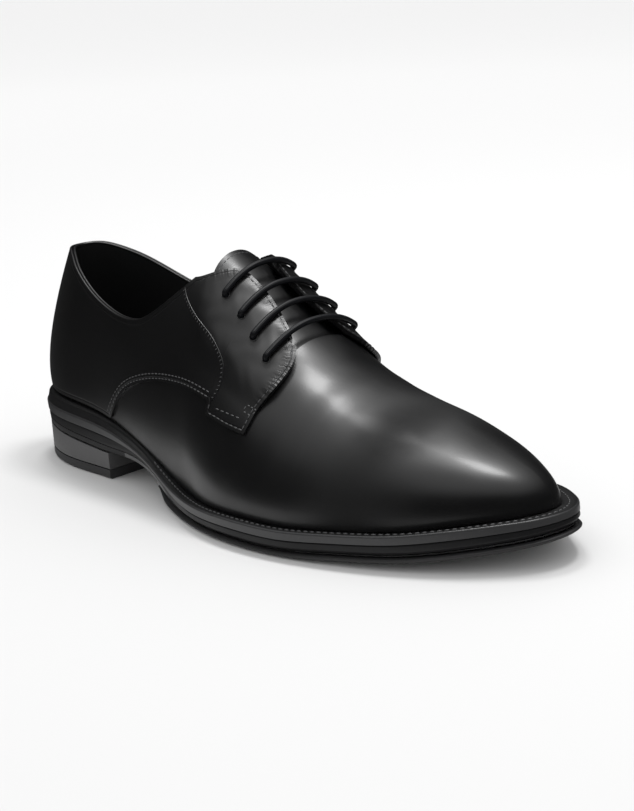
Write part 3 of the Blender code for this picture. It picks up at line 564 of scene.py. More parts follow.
    def tube(self, name: str, path: np.ndarray, out: np.ndarray, radius: float | np.ndarray,
             sides: int = 14, closed_ends: bool = True) -> bpy.types.Object:
        """Run a round cord along a path.

        Args:
            name: name of the piece.
            path: points (n, 3) in the form's frame.
            out: direction near each point that is not along the path.
            radius: radius in metres, one or one a point.
            sides: faces round the cord.
            closed_ends: whether the ends are drawn to a point.

        Returns:
            The piece, with a UV map in metres along and round.
        """
        along = unit(np.gradient(path, axis=0))
        side = unit(np.cross(along, out))
        up = np.cross(side, along)
        size = np.broadcast_to(radius, (len(path),)).copy()
        if closed_ends:
            path = np.concatenate([path[:1], path, path[-1:]])
            side, up = (np.concatenate([q[:1], q, q[-1:]]) for q in (side, up))
            size = np.concatenate([[0.0], size, [0.0]])
        turn = np.linspace(0, 2 * math.pi, sides + 1)
        ring = np.cos(turn)[None, :, None] * side[:, None] + np.sin(turn)[None, :, None] * up[:, None]
        piece = self.sheet(name, path[:, None] + ring * size[:, None, None])
        rows = np.tile(run_of(path), (sides + 1, 1)).reshape(-1)
        round_it = np.repeat(turn * float(np.mean(size)), len(path))
        self.write_uv(piece, np.stack([rows, round_it], 1))
        self.weld(piece, solid=True)
        self.shade(piece, 60.0)
        return piece


class Pattern(Enum):
    """Pattern that a finish adds to its grain."""

    PLAIN = "plain"
    EDGED = "edged"
    BRAID = "braid"
    LAYERS = "layers"
    WHEELED = "wheeled"
    STUDDED = "studded"
    TWIST = "twist"
    FLEXED = "flexed"


class Graph:
    """Short calls for building a node tree."""

    def __init__(self, tree: bpy.types.NodeTree) -> None:
        """Keep the tree."""
        self.tree = tree

    def add(self, kind: str, **values: object) -> bpy.types.Node:
        """Add a node and set its properties."""
        node = self.tree.nodes.new(kind)
        for name, value in values.items():
            setattr(node, name, value)
        return node

    def feed(self, socket: bpy.types.NodeSocket, value: object) -> None:
        """Link a socket, or set its plain value."""
        if isinstance(value, bpy.types.NodeSocket):
            self.tree.links.new(value, socket)
        else:
            socket.default_value = value

    def math(self, operation: str, first: object, second: object = 0.0, third: object = 0.0
             ) -> bpy.types.NodeSocket:
        """One step of arithmetic."""
        node = self.add("ShaderNodeMath", operation=operation)
        for socket, value in zip(node.inputs, (first, second, third)):
            self.feed(socket, value)
        return node.outputs[0]

    def ramp(self, value: object, low: float, high: float, to_low: float = 0.0, to_high: float = 1.0
             ) -> bpy.types.NodeSocket:
        """Map a range smoothly onto another."""
        node = self.add("ShaderNodeMapRange", interpolation_type="SMOOTHSTEP")
        for name, given in (("Value", value), ("From Min", low), ("From Max", high),
                            ("To Min", to_low), ("To Max", to_high)):
            self.feed(node.inputs[name], given)
        return node.outputs["Result"]

    def scaled(self, vector: object, factor: object) -> bpy.types.NodeSocket:
        """Multiply a vector by a number."""
        node = self.add("ShaderNodeVectorMath", operation="SCALE")
        self.feed(node.inputs[0], vector)
        self.feed(node.inputs["Scale"], factor)
        return node.outputs[0]


class Groups:
    """Shader groups that several finishes share, each built once."""

    def __init__(self) -> None:
        """Build every group."""
        self.grain = self._grain()
        self.wear = self._wear()
        self.edging = self._edging()
        self.weave = self._weave()
        self.strata = self._strata()

    @staticmethod
    def _open(name: str, inputs: Sequence[tuple[str, str, float]], outputs: Sequence[str]
              ) -> tuple[Graph, bpy.types.Node, bpy.types.Node]:
        """Start a group with its sockets.

        Args:
            name: name of the group.
            inputs: name, kind and plain value of each input.
            outputs: names of the number outputs.

        Returns:
            The graph, its input node and its output node.
        """
        tree = bpy.data.node_groups.new(name, "ShaderNodeTree")
        for label, kind, value in inputs:
            socket = tree.interface.new_socket(name=label, in_out="INPUT", socket_type=kind)
            if kind == "NodeSocketFloat":
                socket.default_value = value
        for label in outputs:
            tree.interface.new_socket(name=label, in_out="OUTPUT", socket_type="NodeSocketFloat")
        graph = Graph(tree)
        return graph, graph.add("NodeGroupInput"), graph.add("NodeGroupOutput")

    def _grain(self) -> bpy.types.NodeTree:
        """Fine grain of leather or rubber: pores with soft folds between them."""
        g, given, out = self._open("fine_grain", [
            ("Vector", "NodeSocketVector", 0), ("Density", "NodeSocketFloat", 1200.0)], ["Height"])
        place = g.scaled(given.outputs["Vector"], given.outputs["Density"])
        pores = g.add("ShaderNodeTexVoronoi", feature="SMOOTH_F1")
        g.feed(pores.inputs["Vector"], place)
        g.feed(pores.inputs["Scale"], 1.0)
        folds = g.add("ShaderNodeTexNoise")
        g.feed(folds.inputs["Vector"], place)
        g.feed(folds.inputs["Scale"], 0.35)
        g.feed(folds.inputs["Detail"], 3.0)
        pits = g.math("MULTIPLY", pores.outputs["Distance"], 0.5)
        g.feed(out.inputs["Height"], g.math("MULTIPLY_ADD", folds.outputs[0], 0.8, pits))
        return g.tree

    def _wear(self) -> bpy.types.NodeTree:
        """Uneven polish and a little dust: broad clouds and fine specks."""
        g, given, out = self._open("uneven_polish", [
            ("Vector", "NodeSocketVector", 0), ("Spread", "NodeSocketFloat", 38.0)], ["Clouds", "Specks"])
        kinds = (("Clouds", 1.0, 0.32, 0.68, 4.0), ("Specks", 26.0, 0.60, 0.78, 2.0))
        for label, scale, low, high, detail in kinds:
            noise = g.add("ShaderNodeTexNoise")
            g.feed(noise.inputs["Vector"], g.scaled(given.outputs["Vector"], given.outputs["Spread"]))
            g.feed(noise.inputs["Scale"], scale)
            g.feed(noise.inputs["Detail"], detail)
            g.feed(out.inputs[label], g.ramp(noise.outputs[0], low, high))
        return g.tree

    def _edging(self) -> bpy.types.NodeTree:
        """Sewn edge: a channel under the stitches and puckers between it and the edge."""
        g, given, out = self._open("sewn_edge", [
            ("Vector", "NodeSocketVector", 0), ("Channel", "NodeSocketFloat", 0.0018),
            ("Half", "NodeSocketFloat", 0.0006)], ["Channel", "Puckers"])
        split = g.add("ShaderNodeSeparateXYZ")
        g.feed(split.inputs[0], given.outputs["Vector"])
        run, far, loose = split.outputs
        away = g.math("ABSOLUTE", g.math("SUBTRACT", far, given.outputs["Channel"]))
        share = g.math("DIVIDE", away, given.outputs["Half"])
        g.feed(out.inputs["Channel"], g.ramp(share, 0.0, 1.0, 0.0, 1.0))
        noise = g.add("ShaderNodeTexNoise", noise_dimensions="1D")
        g.feed(noise.inputs["W"], g.math("MULTIPLY", run, 520.0))
        g.feed(noise.inputs["Scale"], 1.0)
        g.feed(noise.inputs["Detail"], 2.0)
        near = g.ramp(far, 0.0006, 0.0060, 1.0, 0.0)
        puckers = g.math("MULTIPLY", g.math("MULTIPLY", noise.outputs[0], near), loose)
        g.feed(out.inputs["Puckers"], puckers)
        return g.tree

    def _weave(self) -> bpy.types.NodeTree:
        """Braid of a cord from two families of slanting strands over its UV map."""
        g, given, out = self._open("braid", [
            ("Vector", "NodeSocketVector", 0), ("Pitch", "NodeSocketFloat", 0.0011)], ["Height"])
        split = g.add("ShaderNodeSeparateXYZ")
        g.feed(split.inputs[0], given.outputs["Vector"])
        waves = []
        for sign in (1.0, -1.0):
            slant = g.math("MULTIPLY_ADD", split.outputs[1], sign, split.outputs[0])
            turns = g.math("MULTIPLY", g.math("DIVIDE", slant, given.outputs["Pitch"]), 2 * math.pi)
            waves.append(g.math("SINE", turns))
        both = g.math("MULTIPLY", waves[0], waves[1])
        g.feed(out.inputs["Height"], g.math("MULTIPLY_ADD", both, 0.5, 0.5))
        return g.tree

    def _strata(self) -> bpy.types.NodeTree:
        """Fine lines along a cut edge, stretched along the ground."""
        g, given, out = self._open("cut_layers", [
            ("Vector", "NodeSocketVector", 0), ("Fineness", "NodeSocketFloat", 1500.0)], ["Height"])
        flat = g.add("ShaderNodeVectorMath", operation="MULTIPLY")
        g.feed(flat.inputs[0], given.outputs["Vector"])
        flat.inputs[1].default_value = (0.04, 0.04, 1.0)
        noise = g.add("ShaderNodeTexNoise")
        g.feed(noise.inputs["Vector"], g.scaled(flat.outputs[0], given.outputs["Fineness"]))
        g.feed(noise.inputs["Scale"], 1.0)
        g.feed(noise.inputs["Detail"], 3.0)
        g.feed(out.inputs["Height"], noise.outputs[0])
        return g.tree


@dataclass(frozen=True)
class Finish:
    """One finish: plain values of the shader's own sockets, and of the groups before it."""

    name: str
    colour: tuple[float, float, float]
    roughness: float
    coat: float = 0.0
    coat_roughness: float = 0.12
    specular: float = 0.5
    uneven: float = 0.08
    dusty: float = 0.0
    grain: float = 0.00002
    density: float = 1300.0
    pattern: Pattern = Pattern.PLAIN
    relief: float = 0.00005

    def make(self, groups: Groups) -> bpy.types.Material:
        """Build the material.

        Args:
            groups: the shared shader groups.

        Returns:
            The material.
        """
        made = bpy.data.materials.new(self.name)
        made.use_nodes = True
        g = Graph(made.node_tree)
        shader = made.node_tree.nodes["Principled BSDF"]
        place = g.add("ShaderNodeTexCoord")
        shader.inputs["Specular IOR Level"].default_value = self.specular
        shader.inputs["Coat Weight"].default_value = self.coat
        shader.inputs["Coat Roughness"].default_value = self.coat_roughness
        wear = self._group(g, groups.wear, place.outputs["Object"])
        mix = g.add("ShaderNodeMix", data_type="RGBA")
        mix.inputs[6].default_value = (*self.colour, 1.0)
        mix.inputs[7].default_value = (*(min(1.0, c * 1.5 + 0.02) for c in self.colour), 1.0)
        g.feed(mix.inputs[0], g.math("MULTIPLY", wear.outputs["Specks"], self.dusty))
        g.feed(shader.inputs["Base Color"], mix.outputs[2])
        middle = self.roughness - 0.5 * self.uneven
        rough = g.math("MULTIPLY_ADD", wear.outputs["Clouds"], self.uneven, middle)
        if self.pattern is Pattern.FLEXED:
            flex = g.add("ShaderNodeAttribute", attribute_type="GEOMETRY", attribute_name="flex")
            dull = flex.outputs["Fac"]
            rough = g.math("MULTIPLY_ADD", dull, DULLED, rough)
            g.feed(shader.inputs["Coat Weight"], g.math("MULTIPLY_ADD", dull, -self.coat, self.coat))
        g.feed(shader.inputs["Roughness"], rough)
        fine = self._group(g, groups.grain, place.outputs["Object"], Density=self.density)
        normal = self._bump(g, fine.outputs["Height"], self.grain, None)
        normal = self._relief(g, groups, place, normal)
        g.feed(shader.inputs["Normal"], normal)
        return made

    def _relief(self, g: Graph, groups: Groups, place: bpy.types.Node, normal: bpy.types.NodeSocket
                ) -> bpy.types.NodeSocket:
        """Add the pattern's own relief to the grain's normal."""
        if self.pattern is Pattern.EDGED:
            edge = g.add("ShaderNodeAttribute", attribute_type="GEOMETRY", attribute_name="edge")
            sewn = self._group(g, groups.edging, edge.outputs["Vector"])
            normal = self._bump(g, sewn.outputs["Channel"], 0.00016, normal)
            return self._bump(g, sewn.outputs["Puckers"], 0.00055, normal)
        if self.pattern in (Pattern.BRAID, Pattern.TWIST):
            pitch = 0.0012 if self.pattern is Pattern.BRAID else 0.0008
            braid = self._group(g, groups.weave, place.outputs["UV"], Pitch=pitch)
            return self._bump(g, braid.outputs["Height"], self.relief, normal)
        if self.pattern is Pattern.LAYERS:
            lines = self._group(g, groups.strata, place.outputs["Object"])
            return self._bump(g, lines.outputs["Height"], self.relief, normal)
        if self.pattern is Pattern.WHEELED:
            braid = self._group(g, groups.weave, place.outputs["UV"], Pitch=0.0016)
            return self._bump(g, braid.outputs["Height"], self.relief, normal)
        if self.pattern is Pattern.STUDDED:
            cells = g.add("ShaderNodeTexVoronoi", feature="F1", distance="CHEBYCHEV")
            g.feed(cells.inputs["Vector"], place.outputs["Object"])
            cells.inputs["Scale"].default_value = 260.0
            cells.inputs["Randomness"].default_value = 0.0
            return self._bump(g, g.ramp(cells.outputs["Distance"], 0.30, 0.42), self.relief, normal)
        return normal

    @staticmethod
    def _group(g: Graph, tree: bpy.types.NodeTree, vector: object, **values: float) -> bpy.types.Node:
        """Place a shared group and set its inputs."""
        node = g.add("ShaderNodeGroup", node_tree=tree)
        g.feed(node.inputs["Vector"], vector)
        for name, value in values.items():
            node.inputs[name].default_value = value
        return node

    @staticmethod
    def _bump(g: Graph, height: object, depth: float, normal: object | None) -> bpy.types.NodeSocket:
        """Turn a height into a normal, over another normal."""
        node = g.add("ShaderNodeBump")
        node.inputs["Strength"].default_value = 1.0
        node.inputs["Distance"].default_value = depth
        g.feed(node.inputs["Height"], height)
        if normal is not None:
            g.feed(node.inputs["Normal"], normal)
        return node.outputs[0]


CALF_BLACK = (0.0045, 0.0045, 0.0048)
CALF = Finish("polished_black_calf", CALF_BLACK, 0.36, coat=0.25, coat_roughness=0.20,
              specular=0.45, uneven=0.10, dusty=0.12, grain=0.000010)
CALF_SEWN = Finish("polished_black_calf_sewn", CALF_BLACK, 0.37, coat=0.25, coat_roughness=0.21,
                   specular=0.45, uneven=0.10, dusty=0.12, grain=0.000012, pattern=Pattern.EDGED)
CALF_FLEXED = Finish("polished_black_calf_flexed", CALF_BLACK, 0.34, coat=0.28, coat_roughness=0.19,
                     specular=0.45, uneven=0.10, dusty=0.12, grain=0.000010, pattern=Pattern.FLEXED)
# Cut edges and eyelet rims: black edge ink, painted lighter grey as the highlight along the rounded edge
CUT_EDGE = Finish("inked_cut_edge_painted_highlight", (0.030, 0.030, 0.031), 0.38, coat=0.3, dusty=0.2, grain=0.000012)
LINING = Finish("black_lining_leather", (0.010, 0.010, 0.0105), 0.62, specular=0.35, dusty=0.2,
                grain=0.00003)
WELT_TOP = Finish("black_welt_top", (0.009, 0.009, 0.0095), 0.50, specular=0.35, dusty=0.3,
                  pattern=Pattern.WHEELED, relief=0.00007)
WELT_EDGE = Finish("burnished_welt_edge", (0.030, 0.030, 0.031), 0.34, coat=0.1, specular=0.4, dusty=0.3,
                   pattern=Pattern.LAYERS, relief=0.00004)
MIDSOLE_EDGE = Finish("burnished_midsole_edge", (0.009, 0.009, 0.0095), 0.40, specular=0.25, dusty=0.2,
                      pattern=Pattern.LAYERS, relief=0.00005)
OUTSOLE_EDGE = Finish("burnished_outsole_edge", (0.030, 0.030, 0.031), 0.30, coat=0.6, dusty=0.3,
                      pattern=Pattern.LAYERS, relief=0.00004)
STACK = Finish("burnished_heel_stack", (0.070, 0.069, 0.070), 0.44, coat=0.1, dusty=0.3,
               pattern=Pattern.LAYERS, relief=0.00006)
RUBBER = Finish("black_sole_rubber", (0.020, 0.020, 0.021), 0.50, dusty=0.3, grain=0.00003)
TREAD = Finish("black_rubber_tread", (0.018, 0.018, 0.019), 0.60, dusty=0.4, grain=0.00003,
               pattern=Pattern.STUDDED, relief=0.00035)
CORD = Finish("waxed_black_cord", (0.0045, 0.005, 0.0065), 0.46, specular=0.3, uneven=0.06, grain=0.00001,
              pattern=Pattern.BRAID, relief=0.00007)
# Black waxed thread, painted lighter grey as the small highlights on each stitch
THREAD = Finish("waxed_black_thread_painted_highlight", (0.066, 0.066, 0.068), 0.46, uneven=0.05, grain=0.00001,
                pattern=Pattern.TWIST, relief=0.00002)


@dataclass
class Dresser:
    """Puts finished pieces on the part and gives them their finishes."""

    groups: Groups
    made: dict[str, bpy.types.Material] = field(default_factory=dict)
    count: int = 0

    def material(self, finish: Finish) -> bpy.types.Material:
        """Material of a finish, built once."""
        if finish.name not in self.made:
            self.made[finish.name] = finish.make(self.groups)
        return self.made[finish.name]

    def dress(self, piece: bpy.types.Object, slot: str, *finishes: Finish, stands_for: Sequence[str] = ()
              ) -> None:
        """Finish a piece and fix it to the shoe.

        Args:
            piece: the piece.
            slot: material slot of the record that it follows.
            finishes: finish of each of its material slots.
            stands_for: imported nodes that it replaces.
        """
        if len(piece.data.materials) != len(finishes):
            faces = np.empty(len(piece.data.polygons), np.int32)
            piece.data.polygons.foreach_get("material_index", faces)
            piece.data.materials.clear()
            for finish in finishes:
                piece.data.materials.append(self.material(finish))
            piece.data.polygons.foreach_set("material_index", np.minimum(faces, len(finishes) - 1))
        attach(piece, "root")
        if stands_for:
            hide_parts(*stands_for)
        self.count += 1
        triangles = sum(len(face.vertices) - 2 for face in piece.data.polygons)
        LOG.info("%s: %d triangles, follows %s", piece.name, triangles, slot)


@dataclass
class Stitcher:
    """Sews rows of single stitches, each a copy of one made from a primitive."""

    bench: Bench
    length: float = 0.0019
    width: float = 0.00055
    height: float = 0.00040

    def __post_init__(self) -> None:
        """Model the one stitch that every row copies."""
        bpy.ops.object.select_all(action="DESELECT")
        bpy.ops.mesh.primitive_uv_sphere_add(segments=8, ring_count=6, radius=0.5)
        model = bpy.context.object
        bpy.ops.object.mode_set(mode="EDIT")
        bpy.ops.mesh.select_all(action="SELECT")
        bpy.ops.transform.rotate(value=math.pi / 2, orient_axis="Y", center_override=(0, 0, 0))
        bpy.ops.object.mode_set(mode="OBJECT")
        self.points = np.array([tuple(v.co) for v in model.data.vertices])
        self.faces = [tuple(face.vertices) for face in model.data.polygons]
        bpy.data.objects.remove(model, do_unlink=True)

    def sew(self, name: str, rows: Sequence[tuple[np.ndarray, np.ndarray]], pitch: float,
            size: tuple[float, float, float] | None = None) -> bpy.types.Object:
        """Sew rows of stitches as one piece.

        Args:
            name: name of the piece.
            rows: points and outward directions of each row.
            pitch: step from stitch to stitch in metres.
            size: length, width and height of a stitch, if not the usual ones.

        Returns:
            The piece.
        """
        size = size or (self.length, self.width, self.height)
        points, faces = [], []
        for path, out in rows:
            run = run_of(path)
            count = max(1, int(run[-1] / pitch))
            place = (np.arange(count) + 0.5) * run[-1] / count
            centre = np.stack([np.interp(place, run, path[:, i]) for i in range(3)], 1)
            up = unit(np.stack([np.interp(place, run, out[:, i]) for i in range(3)], 1))
            ends = [np.stack([np.interp(place + d, run, path[:, i]) for i in range(3)], 1)
                    for d in (-0.0004, 0.0004)]
            along = unit(ends[1] - ends[0])
            side = unit(np.cross(up, along))
            for c, t, b, n in zip(centre, along, side, up):
                start = len(points) * len(self.points)
                turned = self.points * size
                points.append(c + turned[:, :1] * t + turned[:, 1:2] * b + turned[:, 2:] * n)
                faces += [tuple(i + start for i in face) for face in self.faces]
        mesh = bpy.data.meshes.new(name)
        places = np.concatenate(points) - self.bench.form.middle
        mesh.from_pydata(places.tolist(), [], faces)
        mesh.uv_layers.new(name="UVMap")
        piece = bpy.data.objects.new(name, mesh)
        bpy.context.scene.collection.objects.link(piece)
        self.bench.write_uv(piece, np.tile(self.points[:, :2] * size[:2], (len(points), 1)))
        self.bench.weld(piece, solid=True)
        self.bench.shade(piece, 80.0)
        return piece


def stations(count: int, start: float = 0.0, end: float = 1.0) -> np.ndarray:
    """Shares from start to end, closer together near heel and toe."""
    t = np.linspace(0, 1, count)
    s = 0.35 * t + 0.65 * (0.5 - 0.5 * np.cos(math.pi * t))
    s = start + (end - start) * s
    s[0], s[-1] = start, end
    return s


@dataclass
class SoleUnit:
    """Heel, forefoot rubber, outsole, midsole, welt and the sock inside."""

    form: Form
    bench: Bench
    dresser: Dresser
    stitcher: Stitcher
    top_piece: float = 0.0043
    heel_inset: float = 0.0013
    rubber_inset: float = 0.0006
    rubber_back: float = 0.36
    stack_inset: float = 0.0011
    lip: float = 0.0008
    shoulder: float = 0.0007

    def build(self) -> None:
        """Build every layer and dress it."""
        self._heel()
        self._rubber()
        self._outsole()
        self._midsole()
        self._welt()
        self._sock()
        self._welt_stitches()

    def _heel_line(self, side: int, inset: float, height: float | Callable[[np.ndarray], np.ndarray]
                   ) -> np.ndarray:
        """Line of the heel's side, from the back to the breast, which bows forward a little."""
        share = np.linspace(0.0, 0.5, 400)
        end = np.interp(BREAST - 0.0002, self.form.plan(share, side, inset)[:, 0], share)
        plan = self.form.plan(end * stations(90), side, inset)
        level = height(plan[:, 0]) if callable(height) else np.full(len(plan), height)
        return np.concatenate([plan, level[:, None]], 1)

    def _seat(self, lift: float) -> Callable[[np.ndarray], np.ndarray]:
        """Height of the outsole's underside, which the heel meets."""
        return lambda x: self.form.layer(x)[:, 4] + lift

    def _stack(self, name: str, lines: Sequence[Callable[[int], np.ndarray]], slots: Sequence[int],
               radius: float, cap: bool = False) -> bpy.types.Object:
        """Loft a layer from its level lines, with rounded corners."""
        outer, strips = self.bench.soften([line(-1) for line in lines], slots, radius)
        inner, _ = self.bench.soften([line(1) for line in lines], slots, radius)
        return self.bench.loft(name, outer, inner, strips, cap=cap)

    def _heel(self) -> None:
        """Top piece, and over it the stack of lifts, burnished as one."""
        inset, top = self.heel_inset, self.top_piece
        lines = [
            lambda side: self._heel_line(side, inset + 0.0009, 0.0),
            lambda side: self._heel_line(side, inset, self.lip),
            lambda side: self._heel_line(side, inset, top)]
        piece = self._stack("heel_top_rubber", lines, [0, 0], 0.0005, cap=True)
        self.dresser.dress(piece, "heel_top_piece", RUBBER, stands_for=["heel_top_piece"])
        start, seat = top + 0.00030, self._seat(-GAP)
        lines = [
            lambda side: self._heel_line(side, inset + 0.0003, start),
            lambda side: self._heel_line(side, inset, start + 0.0003),
            lambda side: self._heel_line(side, self.stack_inset, seat)]
        piece = self._stack("heel_lifts", lines, [0, 0], 0.00008, cap=True)
        self.dresser.dress(piece, "heel_stack", STACK, stands_for=["heel_stack"])

    def _rubber(self) -> None:
        """Forefoot rubber with its rounded lip and fine tread."""
        s = stations(320, self.rubber_back)
        inset = self.rubber_inset

        def keep(points: np.ndarray) -> np.ndarray:
            """Lift what would dip under the floor."""
            return np.maximum(points, [-1.0, -1.0, 0.0])

        grown = smooth((s - self.rubber_back) / 0.05)

        def shared(side: int) -> np.ndarray:
            """Inset of the rubber's side, flush with the outsole where it begins."""
            waist = self.form.layer(self.form.plan(s, side)[:, 0])[:, 7]
            return waist * (1 - grown) + inset * grown

        def under(x: np.ndarray, lift: float = 0.0) -> np.ndarray:
            """Underside, feathered to nothing where the rubber begins."""
            seat = self.form.layer(x)[:, 4] - GAP - self.shoulder
            return seat + np.minimum(self.form.floor(x) + lift - seat, -0.0002) * (0.10 + 0.90 * grown)

        lines = [
            lambda side: keep(self.form.edge(side, s, None, shared(side) + 0.0052, under)),
            lambda side: keep(self.form.edge(side, s, None, shared(side) + 0.0020, under)),
            lambda side: keep(self.form.edge(
                side, s, None, shared(side) + 0.0003, lambda x: under(x, self.lip))),
            lambda side: keep(self.form.edge(side, s, None, shared(side), 4, -GAP - self.shoulder)),
            lambda side: keep(self.form.edge(side, s, None, shared(side) + 0.0010, 4, -GAP))]
        slots = [0, 1, 1, 1]
        outer, strips = self.bench.soften([line(-1) for line in lines], slots, 0.0006)
        inner, _ = self.bench.soften([line(1) for line in lines], slots, 0.0006)
        piece = self.bench.loft("forefoot_rubber", outer, inner, strips, across=12, cap=True)
        self.dresser.dress(piece, "forefoot_sole", TREAD, RUBBER, stands_for=["forefoot_sole"])

    def _outsole(self) -> None:
        """Thin outsole whose polished edge shows at the waist."""
        s = stations(380)
        lines = [
            lambda side: self.form.edge(side, s, 7, 0.0010, 4),
            lambda side: self.form.edge(side, s, 7, 0.0, 4, 0.0006),
            lambda side: self.form.edge(side, s, 7, -0.0002, 3)]
        piece = self._stack("waist_outsole", lines, [0, 0], 0.0006)
        breast = BREAST + 0.012 - self.form.middle[0]
        slots = [int(face.center.x < breast) for face in piece.data.polygons]
        piece.data.polygons.foreach_set("material_index", slots)
        self.dresser.dress(piece, "outsole", OUTSOLE_EDGE, MIDSOLE_EDGE, stands_for=["outsole"])

    def _midsole(self) -> None:
        """Midsole with its dark edge."""
        s = stations(380)
        lines = [
            lambda side: self.form.edge(side, s, 7, -0.0003, 3, GAP),
            lambda side: self.form.edge(side, s, 6, 0.0, 3, 0.0016),
            lambda side: self.form.edge(side, s, 6, 0.0, 2, -0.0002),
            lambda side: self.form.edge(side, s, 6, 0.0003, 2)]
        piece = self._stack("middle_sole", lines, [0, 0, 0], 0.0004)
        self.dresser.dress(piece, "midsole", MIDSOLE_EDGE, stands_for=["midsole"])

    def _shelf(self, side: int, s: np.ndarray, share: float, up: float, lift: float) -> np.ndarray:
        """Line on top of the welt, part of the way from its edge to the upper."""
        outer = self.form.edge(side, s, None, 0.0, 0)
        inner = self.form.edge(side, s, 5, 0.0, 0)
        rise = self.form.edge(side, s, 5, 0.0, 1)[:, 2:]
        line = outer + (inner - outer) * share
        line[:, 2:] = inner[:, 2:] + rise * up + lift
        return line

    def _welt(self) -> None:
        """Welt: light edge band, flat shelf in front, rounded rand at waist and heel."""
        s = stations(420)
        lines = [
            lambda side: self.form.edge(side, s, None, 0.0003, 2, GAP),
            lambda side: self.form.edge(side, s, None, 0.0, 0, -0.0005),
            lambda side: self.form.edge(side, s, None, 0.0006, 0),
            lambda side: self._shelf(side, s, 0.30, 0.72, -0.0001),
            lambda side: self._shelf(side, s, 0.60, 0.93, -0.0002),
            lambda side: self._shelf(side, s, 0.86, 1.0, -GAP)]
        piece = self._stack("welt_and_rand", lines, [0, 0, 1, 1, 1], 0.0005)
        self.dresser.dress(piece, "welt", WELT_EDGE, WELT_TOP, stands_for=["welt"])

    def _sock(self) -> None:
        """Leather sock on the insole, dished a little."""
        s = stations(200)
        seat = WALL + 0.0015

        def line(side: int, further: float, lift: float) -> np.ndarray:
            """Edge line of the sock at an inset and a lift."""
            base = self.form.edge(side, s, 5, seat + further, 0)
            rise = self.form.edge(side, s, 5, seat + further, 1)[:, 2:]
            base[:, 2:] += rise + lift
            return base

        lines = [lambda side: line(side, 0.0, 0.0001), lambda side: line(side, 0.0, 0.0020),
                 lambda side: line(side, 0.0006, 0.0024)]
        piece = self._stack("leather_sock", lines, [0, 0], 0.0004)
        self.dresser.dress(piece, "insole", LINING, stands_for=["insole"])

    def _welt_stitches(self) -> None:
        """Row of stitches along the welt's shelf, from waist to waist round the toe."""
        rows = []
        s = np.linspace(0.365, 1.0, 500)
        for side in (-1, 1):
            path = self._shelf(side, s, 0.56, 0.94, -0.00015)
            rows.append((path, np.tile([0.0, 0.0, 1.0], (len(path), 1))))
        whole = (np.concatenate([rows[0][0], rows[1][0][::-1][1:]]),
                 np.concatenate([rows[0][1], rows[1][1][1:]]))
        piece = self.stitcher.sew("welt_stitches", [whole], 0.0029, (0.0021, 0.0008, 0.0008))
        self.dresser.dress(piece, "welt", THREAD)


